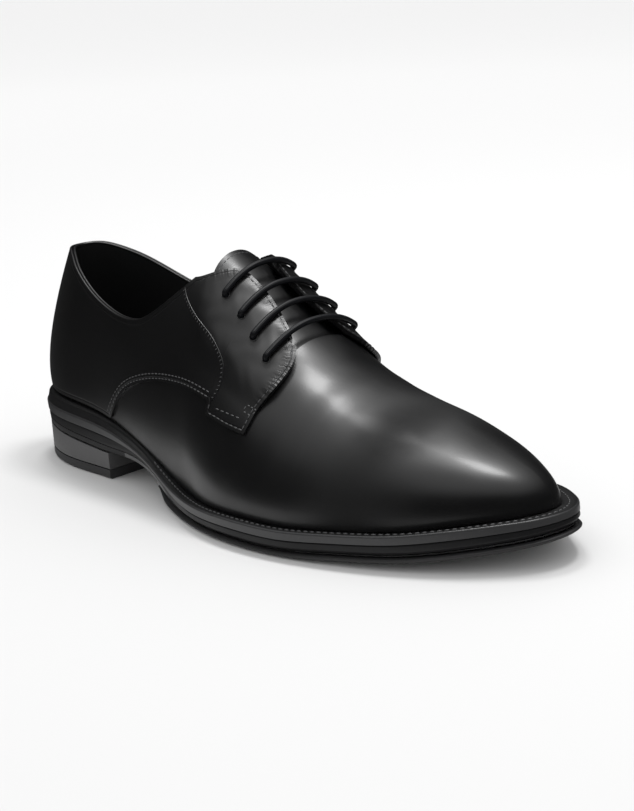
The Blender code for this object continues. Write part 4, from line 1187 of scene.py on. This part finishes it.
@dataclass
class Upper:
    """Vamp, quarters with facings, lining, top line, seams and back tab."""

    form: Form
    bench: Bench
    dresser: Dresser
    stitcher: Stitcher
    rows: int = 54
    tab_middle: float = 0.0785
    tab_height: float = 0.0095
    tab_width: float = 0.0085
    tab_thick: float = 0.0024
    vamp_wall: float = 0.0013
    lining_wall: float = 0.0012
    arch_rows: tuple[float, float] = (0.0014, 0.0034)
    bottom_row: float = 0.0015
    rear_row: float = 0.0012
    edge_row: float = 0.0018
    pitch: float = 0.0025
    ridge_radius: float = 0.00034

    def build(self) -> None:
        """Build every piece of the upper and dress it."""
        self._vamp()
        self._quarters()
        self._lining()
        self._top_line()
        self._eyelet_rims()
        self._seams()
        self._back_tab()

    @staticmethod
    def lift(s: np.ndarray, v: np.ndarray) -> np.ndarray:
        """Share of the facings' full lift."""
        return smooth((s - 0.398) / 0.05) * smooth((v - 0.47) / 0.15)

    def over(self, s: np.ndarray, v: np.ndarray) -> np.ndarray:
        """Distance of the quarter's outer face from the skin, with the leather's slight waves."""
        loose = self.lift(s, v)
        x, y = s * self.form.side_length, v * 0.11
        wave = np.sin(x * 560 + 1.1 * np.sin(y * 300)) * np.sin(y * 410 + 0.9 * np.sin(x * 350))
        wave += 0.6 * np.sin(x * 250 - y * 330 + 1.0)
        return QUARTER_STEP + FACING_LIFT * loose + 0.00009 * wave * loose

    def _creases(self, s: np.ndarray, v: np.ndarray) -> np.ndarray:
        """Depth of the soft creases over the vamp."""
        total = np.zeros_like(v)
        for along, up, half_s, half_v, depth in CREASES:
            spread = ((s[:, None] - along - 0.02 * (v - up)) / half_s) ** 2 + ((v - up) / half_v) ** 2
            total += depth * MM * np.exp(-spread)
        return total

    def _vamp(self) -> None:
        """Vamp under the quarters, closed over the ridge in front of the facings."""
        behind = np.linspace(0.235, VAMP_BACK, 110)
        ahead = stations(230, VAMP_BACK - 0.1, 1.0)
        ahead = ahead[ahead > VAMP_BACK + 0.0015]
        s = np.concatenate([behind, ahead])
        opening = natural(OPENING)
        sheets = []
        for side in (-1, 1):
            share = smooth((s - 0.485) / 0.05)
            top = (self.low_line(np.minimum(s, 0.487)) + 0.07) * (1 - share) + opening(s)[:, 0] * share
            v = top[:, None] * np.linspace(0.0, 1.0, 44)[None]
            sheets.append(self.form.shell(s, v, side, self._creases(s, v)))
            part = s[len(behind) - 1:]
            low = opening(part)[:, :1]
            v = low + (1 - low) * np.linspace(0.0, 1.0, 34)[None]
            sheets.append(self.form.shell(part, v, side, self._creases(part, v)))
        parts = [self.bench.sheet("vamp", sheet) for sheet in sheets]
        for part in parts:
            self.bench.face_out(part)
        bpy.ops.object.select_all(action="DESELECT")
        for part in parts:
            part.select_set(True)
        bpy.context.view_layer.objects.active = parts[0]
        bpy.ops.object.join()
        piece = bpy.context.object
        piece.name = piece.data.name = "vamp"
        self.bench.weld(piece)
        self.bench.thicken(piece, self.vamp_wall, rim_slot=1)
        x = np.array([vertex.co.x for vertex in piece.data.vertices]) + self.form.middle[0]
        flex = np.exp(-((x / LENGTH - FLEX_PLACE) / FLEX_HALF) ** 2)
        layer = piece.data.attributes.new("flex", "FLOAT", "POINT")
        layer.data.foreach_set("value", flex.astype(np.float32))
        self.bench.shade(piece, 50.0)
        self.dresser.dress(piece, "upper", CALF_FLEXED, CUT_EDGE, stands_for=["upper"])

    def front(self) -> Curve:
        """Front edge of facing and tab from the tab's tip up, over a run from 0 to 1."""
        line = np.array([THROAT[-1]] + FRONT)[::-1]
        run = run_of(line * [0.35, 0.11])
        return natural(np.concatenate([(run / run[-1])[:, None], line], 1))

    def low_line(self, s: np.ndarray) -> np.ndarray:
        """Lower edge of the quarter: heel line, arch seam and tab."""
        waist = natural(ARCH_WAIST)(s)[:, 0]
        tab = natural(ARCH_TAB)(s)[:, 0]
        heel = np.full(len(s), HEEL_SEAM)
        return np.where(s < ARCH_WAIST[0][0], heel, np.where(s < 0.488, waist, tab))

    def high_line(self, s: np.ndarray, side: int) -> np.ndarray:
        """Upper edge of the quarter: collar, then throat."""
        collar = self.form.top_line(np.minimum(s, COLLAR_END), side, QUARTER_STEP)
        return np.where(s < COLLAR_END, collar, natural(THROAT)(s)[:, 0])

    def patch(self, side: int) -> np.ndarray:
        """Shares of one quarter, columns from the heel to the tab's front, rows up."""
        s = np.concatenate([
            np.linspace(0.0, 0.25, 62), np.linspace(0.2515, 0.2660, 9), np.linspace(0.2685, 0.3980, 56),
            np.linspace(0.4000, 0.4860, 38), [0.4875, 0.4885], np.linspace(0.4900, 0.5620, 38)])
        low = np.stack([s, self.low_line(s)], 1)
        high = np.stack([s, self.high_line(s, side)], 1)
        w = np.linspace(0.0, 1.0, self.rows)
        edge = self.front()(w)
        straight = low[-1] + (high[-1] - low[-1]) * w[:, None]
        patch = low[:, None] + (high - low)[:, None] * w[None, :, None]
        patch += (edge - straight)[None] * smooth((s - 0.47) / (s[-1] - 0.47))[:, None, None]
        return patch

    def _quarters(self) -> None:
        """Both quarters, one band round the heel, with punched facings."""
        sheets, walls = [], []
        for side in (-1, 1):
            patch = self.patch(side)
            s, v = patch[..., 0], patch[..., 1]
            off = self.over(s, v)
            columns = [self.form.shell(s[:, i], v[:, i:i + 1], side, off[:, i:i + 1])[:, 0]
                       for i in range(self.rows)]
            sheets.append(np.stack(columns, 1))
            loose = self.lift(s, v)
            walls.append(0.00115 + 0.00035 * smooth((v - 0.3) / 0.15) * (1 - loose) + 0.00065 * loose)
        band = np.concatenate([sheets[0][::-1], sheets[1][1:]])
        wall = np.concatenate([walls[0][::-1], walls[1][1:]])
        outline = np.concatenate([band[:, -1], band[-1, ::-1], band[::-1, 0], band[0]])
        piece = self.bench.sheet("quarters", band)
        self.bench.face_out(piece)
        self.bench.thicken(piece, FACING_WALL, (wall / FACING_WALL).T.reshape(-1), rim_slot=1)
        self._punch(piece)
        self._mark_edges(piece, outline)
        self.bench.shade(piece, 50.0)
        self.dresser.dress(piece, "upper", CALF_SEWN, CUT_EDGE)

    def _frames(self) -> list[tuple[np.ndarray, np.ndarray]]:
        """Centre on the facing's face and outward direction of every eyelet."""
        frames = []
        for side in (-1, 1):
            for s, outer, inner in EYELETS:
                pair = np.array([[s, outer if side < 0 else inner]])
                off = QUARTER_STEP + FACING_LIFT * self.lift(pair[:, 0], pair[:, 1])
                centre, out = self.form.path(pair, side, off)
                frames.append((centre[0], out[0]))
        return frames

    def _punch(self, piece: bpy.types.Object) -> None:
        """Punch the eyelets through the facings."""
        punches = []
        for centre, out in self._frames():
            place = centre - self.form.middle - out * 0.5 * FACING_WALL
            bpy.ops.object.select_all(action="DESELECT")
            bpy.ops.mesh.primitive_cylinder_add(
                vertices=28, radius=EYELET_RADIUS, depth=2.6 * FACING_WALL, location=tuple(place),
                rotation=(0.0, math.acos(out[2]), math.atan2(out[1], out[0])))
            punches.append(bpy.context.object)
        bpy.ops.object.select_all(action="DESELECT")
        for punch in punches:
            punch.select_set(True)
        bpy.context.view_layer.objects.active = punches[0]
        bpy.ops.object.join()
        punch = bpy.context.object
        self.bench.alone(piece)
        step = piece.modifiers.new("punch", "BOOLEAN")
        step.operation, step.solver, step.object = "DIFFERENCE", "EXACT", punch
        bpy.ops.object.modifier_apply(modifier=step.name)
        bpy.data.objects.remove(punch, do_unlink=True)

    def _mark_edges(self, piece: bpy.types.Object, outline: np.ndarray) -> None:
        """Write each point's run along the nearest edge, its distance from it, and the lift."""
        line = outline - self.form.middle
        dense = []
        for a, b in zip(line[:-1], line[1:]):
            steps = max(1, int(np.linalg.norm(b - a) / 0.0005))
            dense += [a + (b - a) * k / steps for k in range(steps)]
        dense = np.array(dense)
        run = run_of(dense)
        tree = KDTree(len(dense))
        for i, place in enumerate(dense):
            tree.insert(Vector(place), i)
        tree.balance()
        facing = np.array([0.150, 0.0, 0.0]) - self.form.middle
        values = []
        for vertex in piece.data.vertices:
            _, index, far = tree.find(vertex.co)
            high = smooth((vertex.co.z - 0.052) / 0.010)
            loose = float(high * smooth((vertex.co.x - facing[0] + 0.032) / 0.02))
            values += [run[index], far, loose]
        layer = piece.data.attributes.new("edge", "FLOAT_VECTOR", "POINT")
        layer.data.foreach_set("vector", np.array(values, np.float32))

    def _lining(self) -> None:
        """Lining leather inside, from the sock up to the top line."""
        s = stations(260)
        opening = natural(OPENING)
        sheets = []
        for side in (-1, 1):
            collar = self.form.top_line(np.minimum(s, COLLAR_END), side, -0.0003)
            share = smooth((s - 0.392) / 0.035)
            edge = np.where(s < 0.392, collar, collar * (1 - share) + opening(s)[:, 0] * share)
            v = edge[:, None] * np.linspace(0.0, 1.0, 40)[None]
            off = -0.00035 - 0.00105 * smooth((s - 0.400) / 0.05)[:, None] * np.ones_like(v)
            sheets.append(self.form.shell(s, v, side, off))
        band = np.concatenate([sheets[0][::-1], sheets[1][1:]])
        piece = self.bench.sheet("lining", band)
        self.bench.weld(piece)
        self.bench.face_out(piece)
        self.bench.thicken(piece, self.lining_wall)
        self.bench.shade(piece, 50.0)
        self.dresser.dress(piece, "upper", LINING)

    def _top_line(self) -> None:
        """Two rolled edges along the top line: the quarter's fold and the lining's."""
        s = np.concatenate([np.linspace(0.0, COLLAR_END, 110), np.linspace(0.404, 0.446, 12)])
        for name, off, radius, finish in (("top_line_fold", 0.00055, 0.00070, CALF),
                                          ("lining_fold", -0.00095, 0.00068, CALF)):
            sides = []
            for side in (-1, 1):
                collar = self.form.top_line(np.minimum(s, COLLAR_END), side, off)
                under = (0.03 if off < 0 else 0.0) * smooth((s - 0.4) / 0.03)
                v = np.where(s <= COLLAR_END, collar, natural(THROAT)(s)[:, 0] - under)
                raised = off + FACING_LIFT * self.lift(s, v) * (1.0 if off > 0 else 0.3)
                sides.append(self.form.path(np.stack([s, v], 1), side, raised))
            path = np.concatenate([sides[0][0][::-1], sides[1][0][1:]])
            out = np.concatenate([sides[0][1][::-1], sides[1][1][1:]])
            fade = 1 - 0.75 * smooth((s - COLLAR_END + 0.004) / 0.04)
            size = radius * np.concatenate([fade[::-1], fade[1:]])
            piece = self.bench.tube(name, path, out, size, sides=12)
            self.dresser.dress(piece, "upper", finish)

    def _eyelet_rims(self) -> None:
        """Thin raised rim round each punched hole."""
        rims = []
        for centre, out in self._frames():
            bpy.ops.object.select_all(action="DESELECT")
            bpy.ops.mesh.primitive_torus_add(
                major_segments=28, minor_segments=8, major_radius=EYELET_RADIUS + 0.00008,
                minor_radius=0.00016, location=tuple(centre - self.form.middle),
                rotation=(0.0, math.acos(out[2]), math.atan2(out[1], out[0])))
            rims.append(bpy.context.object)
        bpy.ops.object.select_all(action="DESELECT")
        for rim in rims:
            rim.select_set(True)
        bpy.context.view_layer.objects.active = rims[0]
        bpy.ops.object.join()
        piece = bpy.context.object
        piece.name = piece.data.name = "eyelet_rims"
        bpy.ops.object.transform_apply(location=True, rotation=True, scale=True)
        self.bench.shade(piece, 80.0)
        self.dresser.dress(piece, "upper", CUT_EDGE)

    def _row(self, pairs: np.ndarray, side: int, inset: float, sunk: float = 0.00004
             ) -> tuple[np.ndarray, np.ndarray]:
        """Row at a distance inside an edge.

        Args:
            pairs: shares (n, 2) along the edge, from the heel forward or from below up.
            side: side of the shoe.
            inset: distance from the edge in metres, to the left of the run on the outer side.
            sunk: how deep the row's middle lies under the face.

        Returns:
            Points and outward directions.
        """
        off = QUARTER_STEP + FACING_LIFT * self.lift(pairs[:, 0], pairs[:, 1]) - sunk
        path, out = self.form.path(pairs, side, off)
        along = unit(np.gradient(path, axis=0))
        return path + np.cross(out, along) * inset * -side, out

    def _seams(self) -> None:
        """Every row of stitches on the quarters, and the ridge of the eyestay seam."""
        arch = np.linspace(0.2590, 0.4850, 200)
        arch = np.stack([arch, natural(ARCH_WAIST)(arch)[:, 0]], 1)
        bottom = np.linspace(0.4935, 0.5585, 40)
        bottom = np.stack([bottom, natural(ARCH_TAB)(bottom)[:, 0]], 1)
        rear = np.stack([np.full(8, 0.4892), np.linspace(0.400, 0.358, 8)], 1)
        front = self.front()(np.linspace(0.03, 1.0, 120))
        throat = np.linspace(0.553, 0.408, 80)
        throat = np.stack([throat, natural(THROAT)(throat)[:, 0]], 1)
        second = np.linspace(TAB_ROW[0], TAB_ROW[1], 20)
        run = np.linspace(0, 1, len(EYESTAY))
        stay = natural([(t, *pair) for t, pair in zip(run, EYESTAY)])(np.linspace(0, 1, 120))
        rows, ticks, tacks = [], [], []
        for side in (-1, 1):
            for inset in self.arch_rows:
                rows.append(self._row(arch, side, inset))
            rows.append(self._row(bottom, side, self.bottom_row))
            rows.append(self._row(rear, side, self.rear_row))
            edge = np.concatenate([front, throat])
            rows.append(self._row(edge, side, self.edge_row))
            rows.append(self._row(second, side, 0.0))
            for start, end in zip(TAB_TACK, TAB_TACK[1:] + TAB_TACK[:1]):
                pairs = np.array(start) + (np.array(end) - start) * np.linspace(0, 1, 8)[:, None]
                tacks.append(self._row(pairs, side, 0.0))
            ridge, out = self._row(stay, side, 0.0, sunk=0.00012)
            name = f"eyestay_seam_{'outer' if side < 0 else 'inner'}"
            tube = self.bench.tube(name, ridge, out, self.ridge_radius, sides=8)
            self.dresser.dress(tube, "upper", CALF)
            ticks.append(self._ticks(stay, side))
        piece = self.stitcher.sew("quarter_stitches", rows, self.pitch)
        self.dresser.dress(piece, "upper", THREAD)
        piece = self.stitcher.sew("tab_tacks", tacks, 0.0017, (0.0013, 0.0006, 0.0005))
        self.dresser.dress(piece, "upper", THREAD)
        short = [row for group in ticks for row in group]
        piece = self.stitcher.sew("eyestay_stitches", short, 0.0020, (0.0014, 0.00038, 0.00036))
        self.dresser.dress(piece, "upper", THREAD)

    def _ticks(self, pairs: np.ndarray, side: int) -> list[tuple[np.ndarray, np.ndarray]]:
        """Short slanting stitches in front of the eyestay seam."""
        near, out = self._row(pairs, side, 0.00025)
        far, _ = self._row(pairs, side, -0.00145)
        run = run_of(near)
        count = int(run[-1] / 0.0019)
        rows = []
        for place in (np.arange(count) + 0.5) * run[-1] / count:
            ends = []
            for line, shift in ((near, -0.0003), (far, 0.0003)):
                ends.append([np.interp(place + shift, run, line[:, i]) for i in range(3)])
            up = [np.interp(place, run, out[:, i]) for i in range(3)]
            rows.append((np.array(ends), np.array([up, up])))
        return rows

    def _back_tab(self) -> None:
        """Small bare roll on the back seam, and the seam under it."""
        v = np.linspace(0.3, 0.7, 201)
        height = self.form.shell(np.zeros(1), v[None], -1, QUARTER_STEP)[0][:, 2]
        turn = np.linspace(-1.0, 1.0, 17)
        lines = []
        for w in np.linspace(-1.0, 1.0, 19):
            share = float(np.interp(self.tab_middle + 0.5 * w * self.tab_height, height, v))
            full = self.tab_thick * max(0.30, math.sqrt(max(0.0, 1 - w * w)))
            ring = []
            for u, outer in [(u, True) for u in turn] + [(u, False) for u in turn[-2::-1]]:
                rise = full * math.sqrt(max(0.0, 1 - abs(u) ** 4)) if outer else -0.0002
                pair = np.array([[abs(u) * self.tab_width / 2 / self.form.side_length, share]])
                side = -1 if u < 0 else 1
                ring.append(self.form.path(pair, side, QUARTER_STEP + GAP + rise)[0][0])
            lines.append(np.array(ring))
        lines = [np.tile(lines[0].mean(0), (len(lines[0]), 1))] + lines
        lines.append(np.tile(lines[-1].mean(0), (len(lines[-1]), 1)))
        piece = self.bench.sheet("back_roll", np.stack(lines, 0))
        self.bench.weld(piece, solid=True)
        self.bench.shade(piece, 60.0)
        self.dresser.dress(piece, "back_tab", CALF, stands_for=["back_tab"])
        pairs = np.stack([np.zeros(60), np.linspace(0.03, 0.44, 60)], 1)
        path, out = self.form.path(pairs, -1, QUARTER_STEP - 0.0001)
        piece = self.bench.tube("back_seam", path, out, self.ridge_radius, sides=8)
        self.dresser.dress(piece, "upper", CALF)


@dataclass
class Tongue:
    """Tongue under the facings, with a stitched top."""

    form: Form
    bench: Bench
    dresser: Dresser
    stitcher: Stitcher
    under: float = -(WALL + 2 * GAP)
    wall: float = 0.0016

    def _pairs(self, share: float, w: np.ndarray) -> np.ndarray:
        """Shares down one line of the tongue."""
        top = TONGUE_TOP + TONGUE_ROUND * abs(share) ** 5
        s = top + w * (TONGUE_FRONT - top)
        return np.stack([s, np.full(len(w), 1 - abs(share) * (1 - TONGUE_EDGE))], 1)

    def build(self) -> None:
        """Build the tongue and its row of stitches."""
        u = np.sin(np.linspace(-0.5 * math.pi, 0.5 * math.pi, 61))
        w = np.linspace(0.0, 1.0, 80) ** 1.15
        sheet = []
        for share in u:
            sheet.append(self.form.path(self._pairs(share, w), -1 if share < 0 else 1, self.under)[0])
        piece = self.bench.sheet("tongue_leather", np.stack(sheet, 0))
        self.bench.face_out(piece)
        self.bench.thicken(piece, self.wall, rim_slot=1)
        self.bench.shade(piece, 50.0)
        self.dresser.dress(piece, "tongue", CALF, CUT_EDGE, stands_for=["tongue"])
        path, out = [], []
        for share in np.linspace(-0.97, 0.97, 90):
            place = self._pairs(share, np.array([0.030 + 0.02 * abs(share) ** 8]))
            point, up = self.form.path(place, -1 if share < 0 else 1, self.under - 0.00004)
            path.append(point[0])
            out.append(up[0])
        piece = self.stitcher.sew("tongue_stitches", [(np.array(path), np.array(out))], 0.0024)
        self.dresser.dress(piece, "tongue", THREAD)


@dataclass
class Lace:
    """One waxed cord: four bars over the throat and the runs behind the facings."""

    form: Form
    bench: Bench
    dresser: Dresser
    radius: float = LACE_RADIUS
    thick: float = 0.00134

    @staticmethod
    def _fillet(before: np.ndarray, at: np.ndarray, after: np.ndarray, radius: float) -> list[np.ndarray]:
        """Points that round one corner of the cord's path."""
        back, on = before - at, after - at
        reach = min(radius, 0.48 * float(np.linalg.norm(back)), 0.48 * float(np.linalg.norm(on)))
        start, end = at + unit(back) * reach, at + unit(on) * reach
        return [(1 - t) ** 2 * start + 2 * t * (1 - t) * at + t * t * end for t in np.linspace(0, 1, 9)]

    def build(self) -> None:
        """Run the cord through the eyelets."""
        over = QUARTER_STEP + FACING_LIFT + LACE_CLEAR + self.radius
        under = QUARTER_STEP + FACING_LIFT - FACING_WALL - LACE_BEHIND - self.radius
        corners, sharp = [], []
        for i, (s, outer, inner) in enumerate(EYELETS):
            bar = []
            for u in np.linspace(-1.0, 1.0, 31):
                share = 1 - abs(u) * (1 - (outer if u < 0 else inner))
                bar.append(self.form.path(np.array([[s, share]]), -1 if u < 0 else 1, over)[0][0])
            near = self.form.path(np.array([[s, outer]]), -1, under)[0][0]
            far = self.form.path(np.array([[s, inner]]), 1, under)[0][0]
            if i % 2:
                bar, near, far = bar[::-1], far, near
            corners += [near] + bar + [far]
            sharp += [True, True] + [False] * (len(bar) - 2) + [True, True]
        path = [corners[0]]
        for i in range(1, len(corners) - 1):
            path += self._fillet(corners[i - 1], corners[i], corners[i + 1], 2 * self.radius) \
                if sharp[i] else [corners[i]]
        path.append(corners[-1])
        path = np.array(path)
        run = run_of(path)
        place = np.linspace(0, run[-1], 620)
        path = np.stack([np.interp(place, run, path[:, i]) for i in range(3)], 1)
        path[1:-1] = 0.25 * path[:-2] + 0.5 * path[1:-1] + 0.25 * path[2:]
        up = [np.array([1.0, 0.0, 0.0])]
        for t in unit(np.gradient(path, axis=0)):
            last = up[-1] - t * float(up[-1] @ t)
            up.append(last / np.linalg.norm(last))
        piece = self.bench.tube("waxed_lace", path, np.array(up[1:]), self.thick, sides=18)
        self.dresser.dress(piece, "lace", CORD, stands_for=["lace"])


@dataclass
class Studio:
    """Floor, lights and camera."""

    place: tuple[float, float, float] = (0.701264, -0.536422, 0.257561)
    turn: float = 41.35938
    pitch: float = 6.65418
    roll: float = -1.97787
    focal: float = 1299.511
    centre: tuple[float, float] = (318.319, 404.790)
    aim: tuple[float, float] = (251.0, 618.0)
    zoom: float = 1.42
    frame_size: tuple[int, int] = (634, 811)
    sensor: float = 24.0
    floor_radius: float = 9.0
    floor_drop: float = 0.00015
    # Grey of the floor near the shoe and far off, over a reach in metres: painted shade, greyer near the
    # shoe where the boxes light it
    floor_painted_shade_tones: tuple[float, float] = (0.665, 0.955)
    floor_painted_shade_reach: tuple[float, float] = (0.2, 1.9)
    # Painted shade in what the leather mirrors: the floor's grey for glossy rays beyond this reach in
    # metres
    mirrored_painted_shade: float = 0.03
    mirrored_painted_shade_reach: tuple[float, float] = (0.10, 0.21)
    room: float = 0.98
    ceiling: tuple[float, float] = (0.02, 0.9)
    ceiling_reach: tuple[float, float] = (0.55, 0.95)

    def build(self, form: Form) -> None:
        """Set up the whole studio, with colours shown as they are."""
        bpy.context.scene.view_settings.view_transform = "Standard"
        self._floor()
        self._world()
        self._lights()
        self._camera(form)

    @staticmethod
    def _grey(tone: float) -> tuple[float, float, float, float]:
        """Opaque grey of one tone."""
        return tone, tone, tone, 1.0

    def _floor(self) -> None:
        """Pale floor with painted shade: greyer near the shoe where the boxes light it, and painted dark
        for glossy rays beyond a short reach, so the leather mirrors it only near the shoe.
        """
        bpy.ops.object.select_all(action="DESELECT")
        bpy.ops.mesh.primitive_circle_add(
            vertices=128, radius=self.floor_radius, fill_type="NGON", location=(0, 0, -self.floor_drop))
        floor = bpy.context.object
        floor.name = "studio_floor"
        bpy.ops.object.transform_apply(location=True)
        made = bpy.data.materials.new("pale_floor_painted_shade")
        made.use_nodes = True
        g = Graph(made.node_tree)
        shader = made.node_tree.nodes["Principled BSDF"]
        shader.inputs["Roughness"].default_value = 0.85
        shader.inputs["Specular IOR Level"].default_value = 0.2
        place, path = g.add("ShaderNodeTexCoord"), g.add("ShaderNodeLightPath")
        away = g.add("ShaderNodeVectorMath", operation="LENGTH")
        g.feed(away.inputs[0], place.outputs["Object"])
        far = away.outputs["Value"]
        # Painted shade in the reflection: glossy rays see the floor dark beyond the reach
        shaded = g.math("MULTIPLY", g.ramp(far, *self.mirrored_painted_shade_reach), path.outputs["Is Glossy Ray"])
        # Painted shade: the floor's grey rises from near the shoe outward, against the boxes' pool of light
        pale = g.add("ShaderNodeMix", data_type="RGBA")
        g.feed(pale.inputs[0], g.ramp(far, *self.floor_painted_shade_reach))
        pale.inputs[6].default_value = self._grey(self.floor_painted_shade_tones[0])
        pale.inputs[7].default_value = self._grey(self.floor_painted_shade_tones[1])
        mix = g.add("ShaderNodeMix", data_type="RGBA")
        g.feed(mix.inputs[6], pale.outputs[2])
        mix.inputs[7].default_value = self._grey(self.mirrored_painted_shade)
        g.feed(mix.inputs[0], shaded)
        g.feed(shader.inputs["Base Color"], mix.outputs[2])
        floor.data.materials.append(made)

    def _world(self) -> None:
        """Bright room for the floor, darker where the leather mirrors it."""
        world = bpy.data.worlds.new("studio_room")
        bpy.context.scene.world = world
        world.use_nodes = True
        world.cycles.sampling_method = "NONE"
        g = Graph(world.node_tree)
        world.node_tree.nodes.clear()
        path = g.add("ShaderNodeLightPath")
        room, mirror = g.add("ShaderNodeBackground"), g.add("ShaderNodeBackground")
        room.inputs["Color"].default_value = self._grey(1.0)
        room.inputs["Strength"].default_value = self.room
        mirror.inputs["Color"].default_value = self._grey(1.0)
        sky = g.add("ShaderNodeTexCoord")
        split = g.add("ShaderNodeSeparateXYZ")
        g.feed(split.inputs[0], sky.outputs["Generated"])
        g.feed(mirror.inputs["Strength"], g.ramp(split.outputs[2], *self.ceiling_reach, *self.ceiling))
        mix, out = g.add("ShaderNodeMixShader"), g.add("ShaderNodeOutputWorld")
        g.feed(mix.inputs[0], path.outputs["Is Glossy Ray"])
        g.feed(mix.inputs[1], room.outputs[0])
        g.feed(mix.inputs[2], mirror.outputs[0])
        g.feed(out.inputs["Surface"], mix.outputs[0])

    @staticmethod
    def _soft_box(name: str, place: tuple[float, float, float], size: tuple[float, float], power: float
                  ) -> None:
        """Hang one soft box that looks at the shoe."""
        bpy.ops.object.light_add(type="AREA", location=place)
        lamp = bpy.context.object
        lamp.name = name
        lamp.data.shape = "RECTANGLE"
        lamp.data.size, lamp.data.size_y = size
        lamp.data.energy = power
        aim = Vector((0.03, 0.0, 0.04)) - Vector(place)
        lamp.rotation_euler = aim.to_track_quat("-Z", "Y").to_euler()

    def _lights(self) -> None:
        """One box over the vamp, one over the toe, both behind the shoe's ridge."""
        self._soft_box("box_over_vamp", (-0.27, 0.28, 1.18), (0.25, 0.24), 4.4)
        self._soft_box("box_over_toe", (0.13, 0.34, 1.19), (0.28, 0.18), 5.0)

    def _camera(self, form: Form) -> None:
        """Camera at the photograph's place and angle, aimed at the one shoe."""
        turn, pitch, roll = (math.radians(a) for a in (self.turn, self.pitch, self.roll))
        level = math.cos(pitch)
        back = Vector((math.sin(turn) * level, -math.cos(turn) * level, math.sin(pitch)))
        right = (-back).cross(Vector((0, 0, 1))).normalized()
        up = right.cross(-back)
        tilted_right = right * math.cos(roll) + up * math.sin(roll)
        tilted_up = -right * math.sin(roll) + up * math.cos(roll)
        ahead = -back + tilted_right * ((self.aim[0] - self.centre[0]) / self.focal) \
            - tilted_up * ((self.aim[1] - self.centre[1]) / self.focal)
        ahead.normalize()
        new_right = (tilted_right - ahead * tilted_right.dot(ahead)).normalized()
        new_up = new_right.cross(ahead)
        place = Vector(self.place) - Vector(form.middle)
        data = bpy.data.cameras.new("photo_camera")
        camera = bpy.data.objects.new("photo_camera", data)
        bpy.context.scene.collection.objects.link(camera)
        turned = Matrix((new_right, new_up, -ahead)).transposed().to_4x4()
        camera.matrix_world = Matrix.Translation(place) @ turned
        data.sensor_fit, data.sensor_height = "VERTICAL", self.sensor
        data.lens = self.focal * self.zoom / self.frame_size[1] * data.sensor_height
        data.clip_start, data.clip_end = 0.02, 60.0
        bpy.context.scene.camera = camera


def main() -> None:
    """Build the shoe and the studio, in the order of making."""
    logging.basicConfig(level=logging.INFO, format="%(name)s %(message)s")
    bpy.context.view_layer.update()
    form = Form()
    bench = Bench(form)
    dresser = Dresser(Groups())
    stitcher = Stitcher(bench)
    Studio().build(form)
    for part in (SoleUnit(form, bench, dresser, stitcher), Upper(form, bench, dresser, stitcher),
                 Tongue(form, bench, dresser, stitcher), Lace(form, bench, dresser)):
        part.build()
        LOG.info("%s finished", type(part).__name__)
    LOG.info("%d pieces", dresser.count)


if __name__ == "__main__":
    main()
